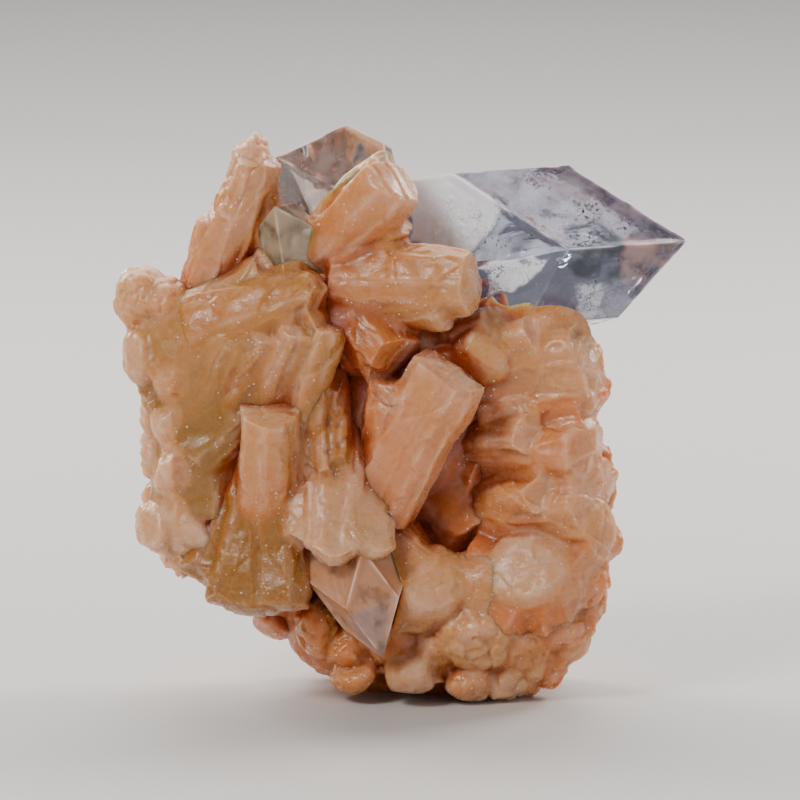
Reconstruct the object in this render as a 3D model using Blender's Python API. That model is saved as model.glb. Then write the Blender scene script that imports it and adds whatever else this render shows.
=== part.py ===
"""A hand-sized mineral specimen: clear apophyllite crystals grown into a cluster of peach stilbite.

The stilbite is one solid, because its blades, sheaves and knobs all overlap. Each apophyllite crystal
is a solid of its own, seated in the stilbite with a hairline gap round it.
+X runs across the front, +Y into the specimen, away from the viewer, and +Z is up from the resting face.
Shapes are worked out in millimetres and turned into metres when a mesh is finished.
"""

import math
import random

import bmesh
import bpy
from mathutils import Matrix, Vector

# Driving dimensions, in millimetres and degrees
VIEW_ELEVATION = 8.0  # the front is described as seen from this far above the horizon
SEAT_GAP = 0.3  # air left round each apophyllite crystal where it sits in the stilbite
REST_HEIGHT = 0.3  # height at which the lowest knobs are worn flat, so that the specimen stands
APOPHYLLITE_RATIO = 1.2515  # height of the pyramid's point over the distance to a prism face
BLADE_POINT = 0.42  # length of a stilbite blade's point, as a share of its width
EDGE_CUT = 0.26  # how far a blade's long edges are cut back, as a share of its thickness
BACK_DEPTH = 19.0  # how far the sheaves on the back reach behind the heart of the cluster
BACK_RINGS = ((8, 26.0), (6, 52.0), (3, 78.0))  # sheaves in each ring, and the ring's turn to the back

# Heart of the cluster, where the sheaves on the back grow from: across, up and forward
HEART = (-1.1, 29.5, -3.0)
# How far the outline is from the heart, every 22.5 degrees from the right, turning upwards
OUTLINE_REACH = (22.5, 24.0, 19.0, 20.0, 20.0, 22.0, 24.5, 27.0, 26.5, 27.0, 25.0, 23.0, 28.0, 29.5, 27.0, 24.5)

MERGE = 0.001  # corners of the joined solid that are nearer than this become one
MM = 0.001

STILBITE_COLOUR = (0.86, 0.52, 0.33, 1.0)
APOPHYLLITE_COLOURS = {
    "apophyllite_point": (0.66, 0.68, 0.76, 1.0),
    "apophyllite_top": (0.76, 0.62, 0.56, 1.0),
    "apophyllite_inner": (0.60, 0.56, 0.52, 1.0),
    "apophyllite_low": (0.80, 0.64, 0.58, 1.0),
}


def seen(across, up, forward):
    """The point that shows this far across and up in the front view, and this far forward of the middle."""
    tilt = math.radians(VIEW_ELEVATION)
    rise = (up + forward * math.sin(tilt)) / math.cos(tilt)
    return Vector((across, -forward, rise))


def facing(across, up, forward):
    """The direction that the front view shows as this far across, up and towards the viewer."""
    tilt = math.radians(VIEW_ELEVATION)
    y = up * math.sin(tilt) - forward * math.cos(tilt)
    z = up * math.cos(tilt) + forward * math.sin(tilt)
    return Vector((across, y, z)).normalized()


def axes_of(base, tip, face):
    """A crystal's own axes as matrix columns: across its width, out of its broad face, and along it."""
    along = (tip - base).normalized()
    out = (face - face.dot(along) * along).normalized()
    return Matrix((out.cross(along), out, along)).transposed()


def cut_face(body, normal, distance):
    """Grows one flat crystal face: cuts off what lies past distance along normal and closes the cut."""
    normal = Vector(normal).normalized()
    cut = bmesh.ops.bisect_plane(
        body,
        geom=body.verts[:] + body.edges[:] + body.faces[:],
        plane_co=normal * distance,
        plane_no=normal,
        clear_outer=True,
    )
    rim = [item for item in cut["geom_cut"] if isinstance(item, bmesh.types.BMEdge)]
    if rim:
        bmesh.ops.edgenet_fill(body, edges=rim)


def finished(body, name, collection, placing=Matrix.Identity(4)):
    """Turns and places a crystal's mesh in the frame, in metres, and makes it an object."""
    bmesh.ops.remove_doubles(body, verts=body.verts, dist=0.001)
    bmesh.ops.transform(body, matrix=Matrix.Scale(MM, 4) @ placing, verts=body.verts)
    bmesh.ops.recalc_face_normals(body, faces=body.faces)
    mesh = bpy.data.meshes.new(name)
    body.to_mesh(mesh)
    body.free()
    made = bpy.data.objects.new(name, mesh)
    collection.objects.link(made)
    return made


def blade(name, collection, base, tip, face, width, thick, point=BLADE_POINT, bevel=0.6, slant=0.0):
    """One tabular stilbite blade: a flat block with cut long edges and a pointed, bevelled end.

    point and bevel are the slopes of the end across its width and its thickness, and slant moves the
    point sideways by that share of the width, as on a blade with one long end face.
    """
    length = (tip - base).length
    body = bmesh.new()
    bmesh.ops.create_cube(body, size=1.0)
    bmesh.ops.translate(body, vec=(0, 0, 0.5), verts=body.verts)
    bmesh.ops.scale(body, vec=(width, thick, length), verts=body.verts)
    corner = (width / 2 + thick / 2 - EDGE_CUT * thick) / math.sqrt(2)
    for side in (-1, 1):
        for front in (-1, 1):
            cut_face(body, (side, front, 0), corner)
    end = Vector((slant * width, 0, length))
    for side in (-1, 1):
        normal = Vector((side * 2 * point, 0, 1)).normalized()
        cut_face(body, normal, end.dot(normal))
    for front in (-1, 1):
        normal = Vector((0, front * bevel, 1)).normalized()
        cut_face(body, normal, (end - Vector((0, 0, 0.04 * thick))).dot(normal))
    placing = Matrix.Translation(base) @ axes_of(base, tip, face).to_4x4()
    return finished(body, name, collection, placing)


def sheaf(name, collection, root, tip, face, width, thick, count, spread, seed, layers=1, bow=16.0):
    """A fan of blades that share a root: count across the fan, in layers that bow apart front to back."""
    chance = random.Random(seed)
    across, out, along = axes_of(root, tip, face).transposed()
    length = (tip - root).length
    for layer in range(layers):
        step = layer - (layers - 1) / 2
        for place in range(count):
            share = 2 * place / (count - 1) - 1 if count > 1 else 0.0
            turn = math.radians(share * spread / 2 + chance.uniform(-2, 2))
            lift = math.radians(step * bow + chance.uniform(-2, 2))
            heading = along * math.cos(turn) + across * math.sin(turn)
            heading = heading * math.cos(lift) + out * math.sin(lift)
            reach = length * (1 - 0.08 * share * share - 0.06 * abs(step)) * chance.uniform(0.94, 1.0)
            start = root + across * share * width * 0.3 + out * step * thick * 0.5
            blade(
                f"{name}_{layer}_{place}",
                collection,
                start,
                start + heading * reach,
                out * math.cos(lift) - along * math.sin(lift),
                width * chance.uniform(0.92, 1.08),
                thick * chance.uniform(0.92, 1.08),
            )


def knob(name, collection, middle, size, seed):
    """A rounded knob where many small blades end together: a stretched icosphere with a few flats."""
    chance = random.Random(seed)
    half = Vector(size) / 2
    body = bmesh.new()
    bmesh.ops.create_icosphere(body, subdivisions=1, radius=1.12)
    bmesh.ops.scale(body, vec=half, verts=body.verts)
    for _ in range(12):
        way = Vector([chance.gauss(0, 1) for _ in range(3)]).normalized()
        reach = Vector([way[i] * half[i] for i in range(3)]).length
        cut_face(body, way, reach * chance.uniform(0.84, 0.98))
    return finished(body, name, collection, Matrix.Translation(middle))


def apophyllite(name, collection, tip, axis, front, halves, length, facets=(), grown=0.0):
    """An apophyllite crystal: a square prism whose four pyramid faces sit over the prism's edges.

    front is the way one prism face looks, and halves are the distances from the axis through the tip to
    the front, top, back and bottom prism faces. facets lists further small faces, as a direction and the
    distance from the tip along it. grown moves every face outwards, for the seat that the crystal fills.
    """
    front = (front - front.dot(axis) * axis).normalized()
    top = axis.cross(front)
    if top.z < 0:
        top = -top
    body = bmesh.new()
    bmesh.ops.create_cube(body, size=6 * length)
    bmesh.ops.translate(body, vec=tip, verts=body.verts)
    for side, half in zip((front, top, -front, -top), halves):
        cut_face(body, side, tip.dot(side) + half + grown)
    for sideways in (-1, 1):
        for upwards in (-1, 1):
            normal = (axis + APOPHYLLITE_RATIO * (sideways * front + upwards * top)).normalized()
            cut_face(body, normal, tip.dot(normal) + grown)
    for normal, distance in facets:
        cut_face(body, normal, tip.dot(normal) + distance + grown)
    cut_face(body, -axis, length - tip.dot(axis) + grown)
    return finished(body, name, collection)


def left_sheaf(parts):
    """The broad hand of blades on the left, with its fingers pointing up to the right."""
    front = facing(-0.22, 0.10, 0.96)
    blade("palm_low", parts, seen(-21.9, 20.5, 2.0), seen(-21.6, 41.5, 3.5), front, 10.4, 9.0, 0.10, 0.3)
    blade("palm_mid", parts, seen(-24.5, 29.0, 2.5), seen(-9.5, 43.8, 4.5), front, 14.0, 8.5, 0.12, 0.3)
    tilted = facing(-0.16, 0.36, 0.90)
    blade("palm_top", parts, seen(-27.0, 36.0, 2.0), seen(-11.5, 46.0, 5.0), tilted, 11.0, 8.5, 0.15, 0.3)
    blade("finger_top", parts, seen(-22.8, 40.2, 4.5), seen(-6.3, 45.6, 7.6), tilted, 7.6, 7.0, 0.22)
    blade("finger_back", parts, seen(-24.0, 37.6, 4.0), seen(-9.6, 43.4, 7.0), tilted, 7.0, 7.0, 0.22)
    fingers = (
        ((-11.2, 29.4, 6.0), (-7.2, 42.4, 9.2), 4.3),
        ((-15.2, 30.6, 5.6), (-10.6, 41.8, 8.8), 4.6),
        ((-19.0, 31.2, 5.0), (-13.9, 41.4, 8.0), 5.0),
        ((-23.0, 30.6, 4.0), (-17.4, 41.0, 7.2), 5.6),
    )
    for place, (base, tip, width) in enumerate(fingers):
        way = facing(-0.35, 0.20, 0.90)
        blade(f"finger_{place}", parts, seen(*base), seen(*tip), way, width, 6.0, 0.3, 0.4)
    rim = (
        ((-27.8, 44.1, 0.5), (7.4, 8.5, 6.6)),
        ((-28.0, 38.0, 2.0), (5.8, 8.0, 6.8)),
        ((-26.6, 18.8, 3.0), (5.6, 7.5, 6.6)),
        ((-22.6, 18.6, 3.5), (6.6, 8.0, 7.0)),
        ((-23.4, 15.8, 1.5), (5.0, 8.0, 5.0)),
        ((-24.0, 17.5, -3.5), (6.5, 7.0, 7.5)),
    )
    for place, (middle, size) in enumerate(rim):
        knob(f"rim_{place}", parts, seen(*middle), size, 100 + place)
    fans = (
        ((-20.0, 39.0, -2.0), (-29.2, 41.5, -4.5), 5.6),
        ((-19.0, 34.0, 0.0), (-30.6, 33.2, 2.5), 5.0),
        ((-19.0, 29.0, 0.0), (-30.8, 28.4, 1.5), 5.4),
        ((-19.0, 25.0, 0.0), (-30.6, 23.4, 2.5), 5.2),
    )
    for place, (root, tip, width) in enumerate(fans):
        way = facing(0.05, -0.3, 0.95)
        sheaf(f"rim_fan_{place}", parts, seen(*root), seen(*tip), way, width, 3.6, 2, 24.0, 110 + place, 3, 20.0)


def column_and_skirt(parts):
    """The upright block beside the hand, and the orange skirt of blades that hangs below it."""
    blade("column", parts, seen(-14.4, 19.0, 4.5), seen(-14.4, 32.6, 9.0), facing(0.1, 0.1, 1), 6.6, 8.0, 0.04, 0.2)
    skirt = (
        ((-16.0, 26.0, 2.5), (-21.4, 12.2, 5.5), 7.4),
        ((-14.6, 25.5, 3.5), (-17.9, 9.0, 7.5), 8.0),
        ((-13.6, 25.5, 4.5), (-13.4, 8.9, 8.5), 7.4),
    )
    for place, (base, tip, width) in enumerate(skirt):
        way = facing(-0.2, -0.1, 0.97)
        blade(f"skirt_{place}", parts, seen(*base), seen(*tip), way, width, 7.0, 0.06, 0.25)
    thin = (
        ((-10.3, 22.5, 4.0), (-9.8, 37.4, 5.0)),
        ((-8.5, 21.5, 4.0), (-7.8, 38.6, 4.5)),
        ((-6.8, 22.5, 3.0), (-6.2, 36.8, 3.5)),
    )
    for place, (base, tip) in enumerate(thin):
        blade(f"thin_{place}", parts, seen(*base), seen(*tip), facing(1, 0, 0.25), 9.0, 2.2, 0.25)
    blade("striated", parts, seen(-7.4, 27.0, 6.5), seen(-8.0, 16.6, 12.5), facing(0.1, 0.3, 1), 6.8, 3.4, 0.30, 0.2)
    blade("striated_left", parts, seen(-9.0, 26.0, 5.5), seen(-10.6, 17.4, 9.5), facing(-0.3, 0.2, 1), 4.0, 3.4, 0.3)


def upper_blades(parts):
    """The long blade at the upper left and the thick blocks that lean over the middle."""
    way = facing(-0.45, 0.05, 0.9)
    blade("long_blade", parts, seen(-21.4, 41.5, 1.0), seen(-15.0, 61.0, 3.0), way, 5.8, 6.6, 0.35)
    blade("long_blade_foot", parts, seen(-22.8, 39.5, 0.0), seen(-19.6, 54.5, 1.5), way, 6.0, 6.0, 0.45)
    blade("long_blade_side", parts, seen(-18.8, 42.5, 0.5), seen(-14.4, 57.5, 2.0), way, 4.6, 5.0, 0.35)
    blade("broken_tip", parts, seen(-16.2, 55.0, 1.5), seen(-15.7, 62.6, 2.0), way, 3.4, 3.4, 0.6)
    blade("broken_tip_left", parts, seen(-17.0, 55.0, 1.5), seen(-16.8, 61.4, 1.5), way, 2.6, 3.0, 0.3)
    way = facing(-0.30, 0.30, 0.90)
    blade("block_high", parts, seen(-6.4, 46.6, 1.5), seen(-3.2, 57.9, 8.6), way, 8.6, 8.6, 0.06, 0.25, -0.1)
    blade("block_high_side", parts, seen(-5.8, 46.4, 1.0), seen(-1.3, 56.6, 7.0), way, 6.6, 7.6, 0.15, 0.3)
    way = facing(0.05, 0.35, 0.93)
    blade("block_wide", parts, seen(-7.0, 46.4, 1.5), seen(9.2, 45.4, 10.0), way, 8.0, 8.6, 0.14, 0.25)
    blade("block_wide_under", parts, seen(-6.0, 44.8, 1.0), seen(6.4, 43.4, 8.0), way, 6.6, 8.0, 0.14, 0.25)
    way = facing(-0.35, 0.1, 0.93)
    blade("block_red", parts, seen(-7.4, 47.0, 1.0), seen(1.2, 37.4, 8.0), way, 8.4, 8.4, 0.14, 0.3)
    way = facing(0.2, 0, 1)
    blade("block_red_back", parts, seen(-6.0, 45.5, -2.0), seen(-2.4, 34.8, 5.0), way, 7.5, 8.0, 0.25)
    way = facing(-0.28, 0.12, 0.95)
    blade("centre_blade", parts, seen(-2.4, 20.8, 2.5), seen(6.2, 37.0, 12.0), way, 8.8, 8.0, 0.10, 0.3, -0.1)
    blade("centre_flank", parts, seen(-2.8, 22.0, 2.0), seen(-0.2, 34.8, 8.5), facing(-0.6, 0.1, 0.8), 6.0, 6.0, 0.2, 0.4)


def right_rosette(parts):
    """The rosette of thick petals on the right, which curls round the hollow in the middle."""
    first = facing(-0.15, 0.45, 0.88)
    second = facing(-0.10, 0.20, 0.97)
    third = facing(-0.05, -0.10, 0.98)
    petals = (
        ("upper", first, 0.16, 0.3, (
            ((2.5, 37.2, 0.0), (12.4, 42.6, 5.6), 7.4, 8.0),
            ((3.0, 36.4, 1.0), (17.2, 41.2, 7.0), 7.8, 8.0),
            ((4.0, 35.2, 0.5), (22.0, 38.6, 5.6), 7.8, 8.4),
            ((4.4, 33.6, 0.0), (22.7, 36.0, 5.0), 7.0, 8.4),
        )),
        ("second", second, 0.10, 0.3, (
            ((9.6, 33.6, 2.0), (22.8, 34.2, 5.4), 5.4, 9.0),
            ((9.2, 31.6, 2.5), (22.0, 31.8, 6.6), 6.4, 9.0),
        )),
        ("third", second, 0.20, 0.4, (
            ((3.5, 28.2, -4.0), (17.6, 29.0, 6.6), 6.0, 9.0),
            ((4.0, 27.4, -3.5), (22.3, 27.4, 6.6), 6.4, 9.0),
            ((6.5, 24.6, -3.0), (22.5, 24.0, 6.0), 6.6, 9.0),
        )),
        ("fourth", first, 0.20, 0.4, (
            ((9.2, 20.8, -1.0), (18.4, 23.8, 8.0), 6.2, 8.6),
            ((9.2, 19.6, -0.5), (22.6, 21.2, 7.2), 6.6, 9.0),
            ((9.2, 18.2, -0.5), (24.0, 18.6, 6.2), 6.6, 9.0),
        )),
        ("fifth", third, 0.20, 0.4, (
            ((9.0, 16.0, 2.0), (22.5, 14.2, 7.6), 6.6, 9.0),
            ((8.0, 14.8, 2.5), (21.4, 11.0, 8.4), 7.2, 9.0),
            ((7.0, 14.0, 3.5), (19.2, 9.0, 8.4), 7.4, 9.0),
            ((6.0, 13.0, 3.5), (15.2, 7.6, 8.4), 7.0, 8.5),
        )),
    )
    for ring, face, point, bevel, places in petals:
        for place, (base, tip, width, thick) in enumerate(places):
            blade(f"petal_{ring}_{place}", parts, seen(*base), seen(*tip), face, width, thick, point, bevel)
    knob("petal_dome", parts, seen(15.0, 13.8, 6.0), (13.0, 11.0, 9.4), 7)


def lower_knobs(parts):
    """The lobes and rounded knobs under the hollow, down to the foot."""
    knobs = (
        ((3.3, 12.4, 6.5), (7.6, 9.0, 8.2)),
        ((9.2, 13.4, 7.0), (6.4, 8.0, 5.4)),
        ((8.8, 7.8, 6.5), (7.2, 8.0, 6.6)),
        ((1.4, 2.6, 5.5), (6.4, 8.5, 6.4)),
        ((-4.8, 2.9, 4.0), (6.6, 8.0, 5.0)),
        ((7.3, 1.8, 4.0), (4.0, 7.0, 5.4)),
        ((11.0, 2.2, 2.0), (6.0, 8.0, 5.2)),
        ((-8.6, 8.2, 3.5), (5.6, 8.0, 8.4)),
        ((-1.0, 7.2, 4.5), (9.0, 8.0, 6.6)),
        ((18.6, 6.6, 2.5), (5.6, 8.0, 6.0)),
        ((16.4, 4.2, 2.0), (5.6, 8.0, 5.6)),
        ((14.0, 3.0, 1.5), (5.4, 8.0, 5.4)),
        ((20.6, 10.4, 3.0), (5.4, 8.0, 6.0)),
        ((-13.3, 8.4, -4.5), (6.6, 8.0, 5.6)),
        ((-6.5, 6.2, -9.5), (7.5, 7.0, 7.5)),
        ((-2.0, 5.8, -14.5), (7.0, 6.5, 6.5)),
        ((4.0, 6.4, -15.5), (7.5, 6.5, 8.0)),
        ((9.6, 6.0, -13.5), (7.0, 7.0, 7.0)),
        ((14.0, 6.8, -9.0), (7.0, 7.5, 8.0)),
    )
    for place, (middle, size) in enumerate(knobs):
        knob(f"lower_{place}", parts, seen(*middle), size, 200 + place)


def middle_mass(parts):
    """The massive stilbite that the blades stand on, and the walls of the hollow."""
    lumps = (
        ((-17.5, 32.0, -2.0), (20.0, 16.0, 26.0)),
        ((-13.0, 20.0, -2.0), (18.0, 16.0, 22.0)),
        ((-3.0, 40.0, -4.0), (20.0, 14.0, 20.0)),
        ((12.0, 34.0, -3.0), (20.0, 14.0, 18.0)),
        ((15.5, 22.0, -3.5), (17.0, 15.0, 20.0)),
        ((4.0, 24.0, -10.0), (22.0, 13.0, 26.0)),
        ((8.0, 9.0, -2.0), (22.0, 16.0, 14.0)),
        ((-4.0, 10.0, -3.0), (18.0, 16.0, 16.0)),
        ((2.0, 5.0, -7.0), (22.0, 18.0, 12.0)),
        ((-5.0, 17.5, 2.5), (10.0, 10.0, 12.0)),
        ((-8.0, 27.0, 0.0), (8.0, 10.0, 18.0)),
    )
    for place, (middle, size) in enumerate(lumps):
        knob(f"mass_{place}", parts, seen(*middle), size, 300 + place)


def crystal_roots(parts):
    """Sheaves behind the blocks that hold the roots of the two upper clear crystals."""
    knob("root_left_mass", parts, seen(-6.0, 46.5, -5.5), (13.0, 12.0, 14.0), 31)
    knob("root_right_mass", parts, seen(-0.5, 45.5, -12.0), (14.0, 13.0, 16.0), 32)
    sheaves = (
        ((-3.0, 40.0, -7.0), (-9.0, 52.5, -9.0), (-0.5, 0.2, -0.8)),
        ((-1.0, 40.0, -9.0), (-2.0, 54.0, -14.0), (-0.3, 0.2, -0.9)),
        ((3.0, 38.0, -10.0), (6.5, 49.0, -20.0), (0.1, 0.4, -0.9)),
    )
    for place, (root, tip, side) in enumerate(sheaves):
        sheaf(f"root_{place}", parts, seen(*root), seen(*tip), facing(*side), 8.0, 6.0, 3, 40.0, 33 + place, 2, 24.0)


def outline_reach(turn):
    """How far the outline is from the heart at this angle, blended between the eighths of a half turn."""
    share = (turn % (2 * math.pi)) / (2 * math.pi) * len(OUTLINE_REACH)
    low = int(share)
    following = OUTLINE_REACH[(low + 1) % len(OUTLINE_REACH)]
    return OUTLINE_REACH[low] + (following - OUTLINE_REACH[low]) * (share - low)


def back_sheaves(parts):
    """Sheaves that radiate from the heart to the sides and the back, inside the front view's outline."""
    chance = random.Random(41)
    for ring, (count, lean) in enumerate(BACK_RINGS):
        for place in range(count):
            turn = 2 * math.pi * (place + 0.5 * (ring % 2) + chance.uniform(-0.12, 0.12)) / count
            back = math.radians(lean + chance.uniform(-5, 5))
            reach = outline_reach(turn) * 0.92 * math.cos(back)
            tip = (
                HEART[0] + reach * math.cos(turn),
                max(HEART[1] + reach * math.sin(turn), 3.0),
                HEART[2] - BACK_DEPTH * math.sin(back),
            )
            root = [HEART[axis] + 0.35 * (tip[axis] - HEART[axis]) for axis in range(3)]
            side = facing(-math.sin(turn), math.cos(turn), chance.uniform(-0.4, 0.4))
            sheaf(f"back_{ring}_{place}", parts, seen(*root), seen(*tip), side, 8.0, 6.0, 3, 46.0, 50 + place, 2, 26.0)


def clear_crystals():
    """Each clear crystal's tip, axis, front, half widths, length and further small faces."""
    point_facets = (
        (facing(-0.345, -0.205, 0.916), 8.05),
        (facing(0.30, -0.93, 0.20), 6.4),
    )
    top_tip = seen(0.8, 59.3, 7.0)
    top_front = facing(-0.731, -0.325, 0.604)
    top_halves = (5.5, 6.0, 2.6, 5.0)
    inner_tip = seen(-12.8, 50.4, 5.6)
    against_top = (inner_tip - top_tip).dot(top_front) - top_halves[0] - SEAT_GAP - 0.1
    return {
        "apophyllite_point": (
            seen(31.4, 50.2, 2.5), facing(0.911, 0.135, 0.389), facing(-0.399, 0.049, 0.916),
            (8.5, 10.3, 7.5, 7.2), 30.0, point_facets,
        ),
        "apophyllite_top": (
            top_tip, facing(0.55, 0.25, 0.80), top_front,
            top_halves, 18.0, ((facing(0.96, 0.2, 0.2), -2.6),),
        ),
        "apophyllite_inner": (
            inner_tip, facing(-0.25, 0.55, 0.80), facing(0.9, 0.1, 0.3),
            (4.2, 3.8, 4.2, 3.8), 10.0, ((-top_front, against_top),),
        ),
        "apophyllite_low": (
            seen(-1.9, 4.8, 12.6), facing(0.24, -0.90, 0.36), facing(0.75, 0.25, 0.6),
            (4.2, 4.2, 4.2, 4.2), 14.5, (),
        ),
    }


def outer_skin(mesh):
    """Fills the pockets that the blades seal between them: keeps only the skin that reaches outside."""
    body = bmesh.new()
    body.from_mesh(mesh)
    bmesh.ops.remove_doubles(body, verts=body.verts, dist=MERGE * MM)
    bmesh.ops.dissolve_degenerate(body, edges=body.edges, dist=MERGE * MM)
    left = set(body.faces)
    skins = []
    while left:
        skin = [left.pop()]
        for face in skin:
            for edge in face.edges:
                for near in edge.link_faces:
                    if near in left:
                        left.remove(near)
                        skin.append(near)
        skins.append(skin)
    skins.sort(key=len)
    for skin in skins[:-1]:
        bmesh.ops.delete(body, geom=skin, context="FACES")
    body.to_mesh(mesh)
    body.free()


def carve(target, operation, collection):
    """Joins target with every object of the collection, or cuts them from it, with an exact Boolean."""
    change = target.modifiers.new(operation.lower(), "BOOLEAN")
    change.operation = operation
    change.operand_type = "COLLECTION"
    change.collection = collection
    change.solver = "EXACT"
    change.use_self = operation == "UNION"


def evaluated(target):
    """The object's mesh with its modifiers worked out, which replaces the modifiers."""
    depsgraph = bpy.context.evaluated_depsgraph_get()
    mesh = bpy.data.meshes.new_from_object(target.evaluated_get(depsgraph))
    target.modifiers.clear()
    target.data = mesh
    return mesh


def material(name, colour, roughness):
    """A plain Principled material in the crystal's own colour."""
    made = bpy.data.materials.new(name)
    made.use_nodes = True
    shader = made.node_tree.nodes["Principled BSDF"]
    shader.inputs["Base Color"].default_value = colour
    shader.inputs["Roughness"].default_value = roughness
    shader.inputs["Metallic"].default_value = 0.0
    made.diffuse_color = colour
    return made


def new_collection(name):
    """A collection in the scene."""
    made = bpy.data.collections.new(name)
    bpy.context.scene.collection.children.link(made)
    return made


def hide_operands(collection):
    """Keeps the Boolean operands out of the render."""
    for item in collection.objects:
        item.hide_render = True
        item.display_type = "WIRE"


def stand(objects):
    """Moves the specimen so that the middle of its box is over the origin, with its foot at Z = 0."""
    corners = [item.matrix_world @ vertex.co for item in objects for vertex in item.data.vertices]
    low = [min(corner[axis] for corner in corners) for axis in range(3)]
    high = [max(corner[axis] for corner in corners) for axis in range(3)]
    shift = Vector((-(low[0] + high[0]) / 2, -(low[1] + high[1]) / 2, -low[2]))
    for item in objects:
        item.location += shift


def build():
    """Builds the specimen in its own collection."""
    for item in list(bpy.data.objects):
        bpy.data.objects.remove(item, do_unlink=True)
    specimen = new_collection("apophyllite_with_stilbite")
    blades = new_collection("stilbite_operands")
    seats = new_collection("seat_cutters")

    left_sheaf(blades)
    column_and_skirt(blades)
    upper_blades(blades)
    right_rosette(blades)
    lower_knobs(blades)
    middle_mass(blades)
    crystal_roots(blades)
    back_sheaves(blades)
    hide_operands(blades)

    cluster = knob("stilbite_cluster", specimen, seen(*HEART), (24.0, 18.0, 26.0), 1)
    carve(cluster, "UNION", blades)
    outer_skin(evaluated(cluster))

    for name, crystal in clear_crystals().items():
        apophyllite(f"seat_of_{name}", seats, *crystal, grown=SEAT_GAP)
    floor = bmesh.new()
    bmesh.ops.create_cube(floor, size=100.0)
    finished(floor, "rest_plane", seats, Matrix.Translation((0, 0, REST_HEIGHT - 50.0)))
    hide_operands(seats)
    carve(cluster, "DIFFERENCE", seats)
    outer_skin(evaluated(cluster))
    cluster.data.materials.clear()
    cluster.data.materials.append(material("stilbite", STILBITE_COLOUR, 0.45))

    for name, crystal in clear_crystals().items():
        made = apophyllite(name, specimen, *crystal)
        made.data.materials.append(material(name, APOPHYLLITE_COLOURS[name], 0.08))
    bpy.context.view_layer.update()
    stand(list(specimen.objects))


build()
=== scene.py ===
import math
import random

import bmesh
import bpy
import numpy as np
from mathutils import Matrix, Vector


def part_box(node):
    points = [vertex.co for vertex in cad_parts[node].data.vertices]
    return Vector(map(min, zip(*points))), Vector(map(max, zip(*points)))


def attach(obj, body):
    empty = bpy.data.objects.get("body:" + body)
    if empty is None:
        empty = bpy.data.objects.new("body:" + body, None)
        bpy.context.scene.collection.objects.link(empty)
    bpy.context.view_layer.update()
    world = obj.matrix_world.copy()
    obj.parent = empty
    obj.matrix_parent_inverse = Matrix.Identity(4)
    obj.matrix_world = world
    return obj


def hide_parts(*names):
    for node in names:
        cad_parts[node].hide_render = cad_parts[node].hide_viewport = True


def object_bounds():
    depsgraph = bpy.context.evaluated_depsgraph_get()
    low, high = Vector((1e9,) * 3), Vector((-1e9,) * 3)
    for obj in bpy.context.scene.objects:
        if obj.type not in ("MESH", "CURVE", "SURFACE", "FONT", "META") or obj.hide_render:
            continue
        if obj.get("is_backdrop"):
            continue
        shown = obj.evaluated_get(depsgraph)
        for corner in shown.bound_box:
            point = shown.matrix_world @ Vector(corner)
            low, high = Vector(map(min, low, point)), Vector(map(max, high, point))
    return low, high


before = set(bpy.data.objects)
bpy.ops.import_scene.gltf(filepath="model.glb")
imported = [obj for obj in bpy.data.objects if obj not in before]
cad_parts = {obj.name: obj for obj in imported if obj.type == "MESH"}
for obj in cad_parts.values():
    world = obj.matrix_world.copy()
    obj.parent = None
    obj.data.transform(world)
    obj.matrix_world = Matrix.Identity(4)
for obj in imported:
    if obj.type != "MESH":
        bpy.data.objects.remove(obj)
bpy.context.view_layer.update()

mm = 0.001  # shapes are worked out in millimetres and turned into metres when a mesh is made

# shared facts: the front view, how the surfaces are made, and the stilbite's finishes
view = {
    "elevation": 8.0,  # degrees above the horizon that the front view looks from
    "distance": 0.733,  # metres from the middle of the view
    "width": 0.088,  # metres across the view at the specimen
    "middle": (0.0, 32.8, 0.0),  # across, up and forward in mm
}
making = {
    "power": 36.0,  # how square the first rough surface of a crystal is
    "rows": 34,  # of that surface, from end to end
    "columns": 52,  # of that surface, round it
    "seam": 4.6,  # per mm: how tightly two crystals meet
    "seatGap": 0.06,  # mm of air round each clear crystal
    "clear": 0.7,  # mm beside a clear crystal over which the relief dies away
    "stepCount": 7,  # missing layers on each blade
    "stray": 0.14,  # how far a crystal's blush and milk may lie off its finish
    "cut": 0.26,  # of a blade's thickness, taken off its long edges
    "blunt": 0.04,  # of a blade's thickness, taken off its point
    "pyramid": 1.2515,  # steepness of the clear crystals' tips
}
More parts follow.
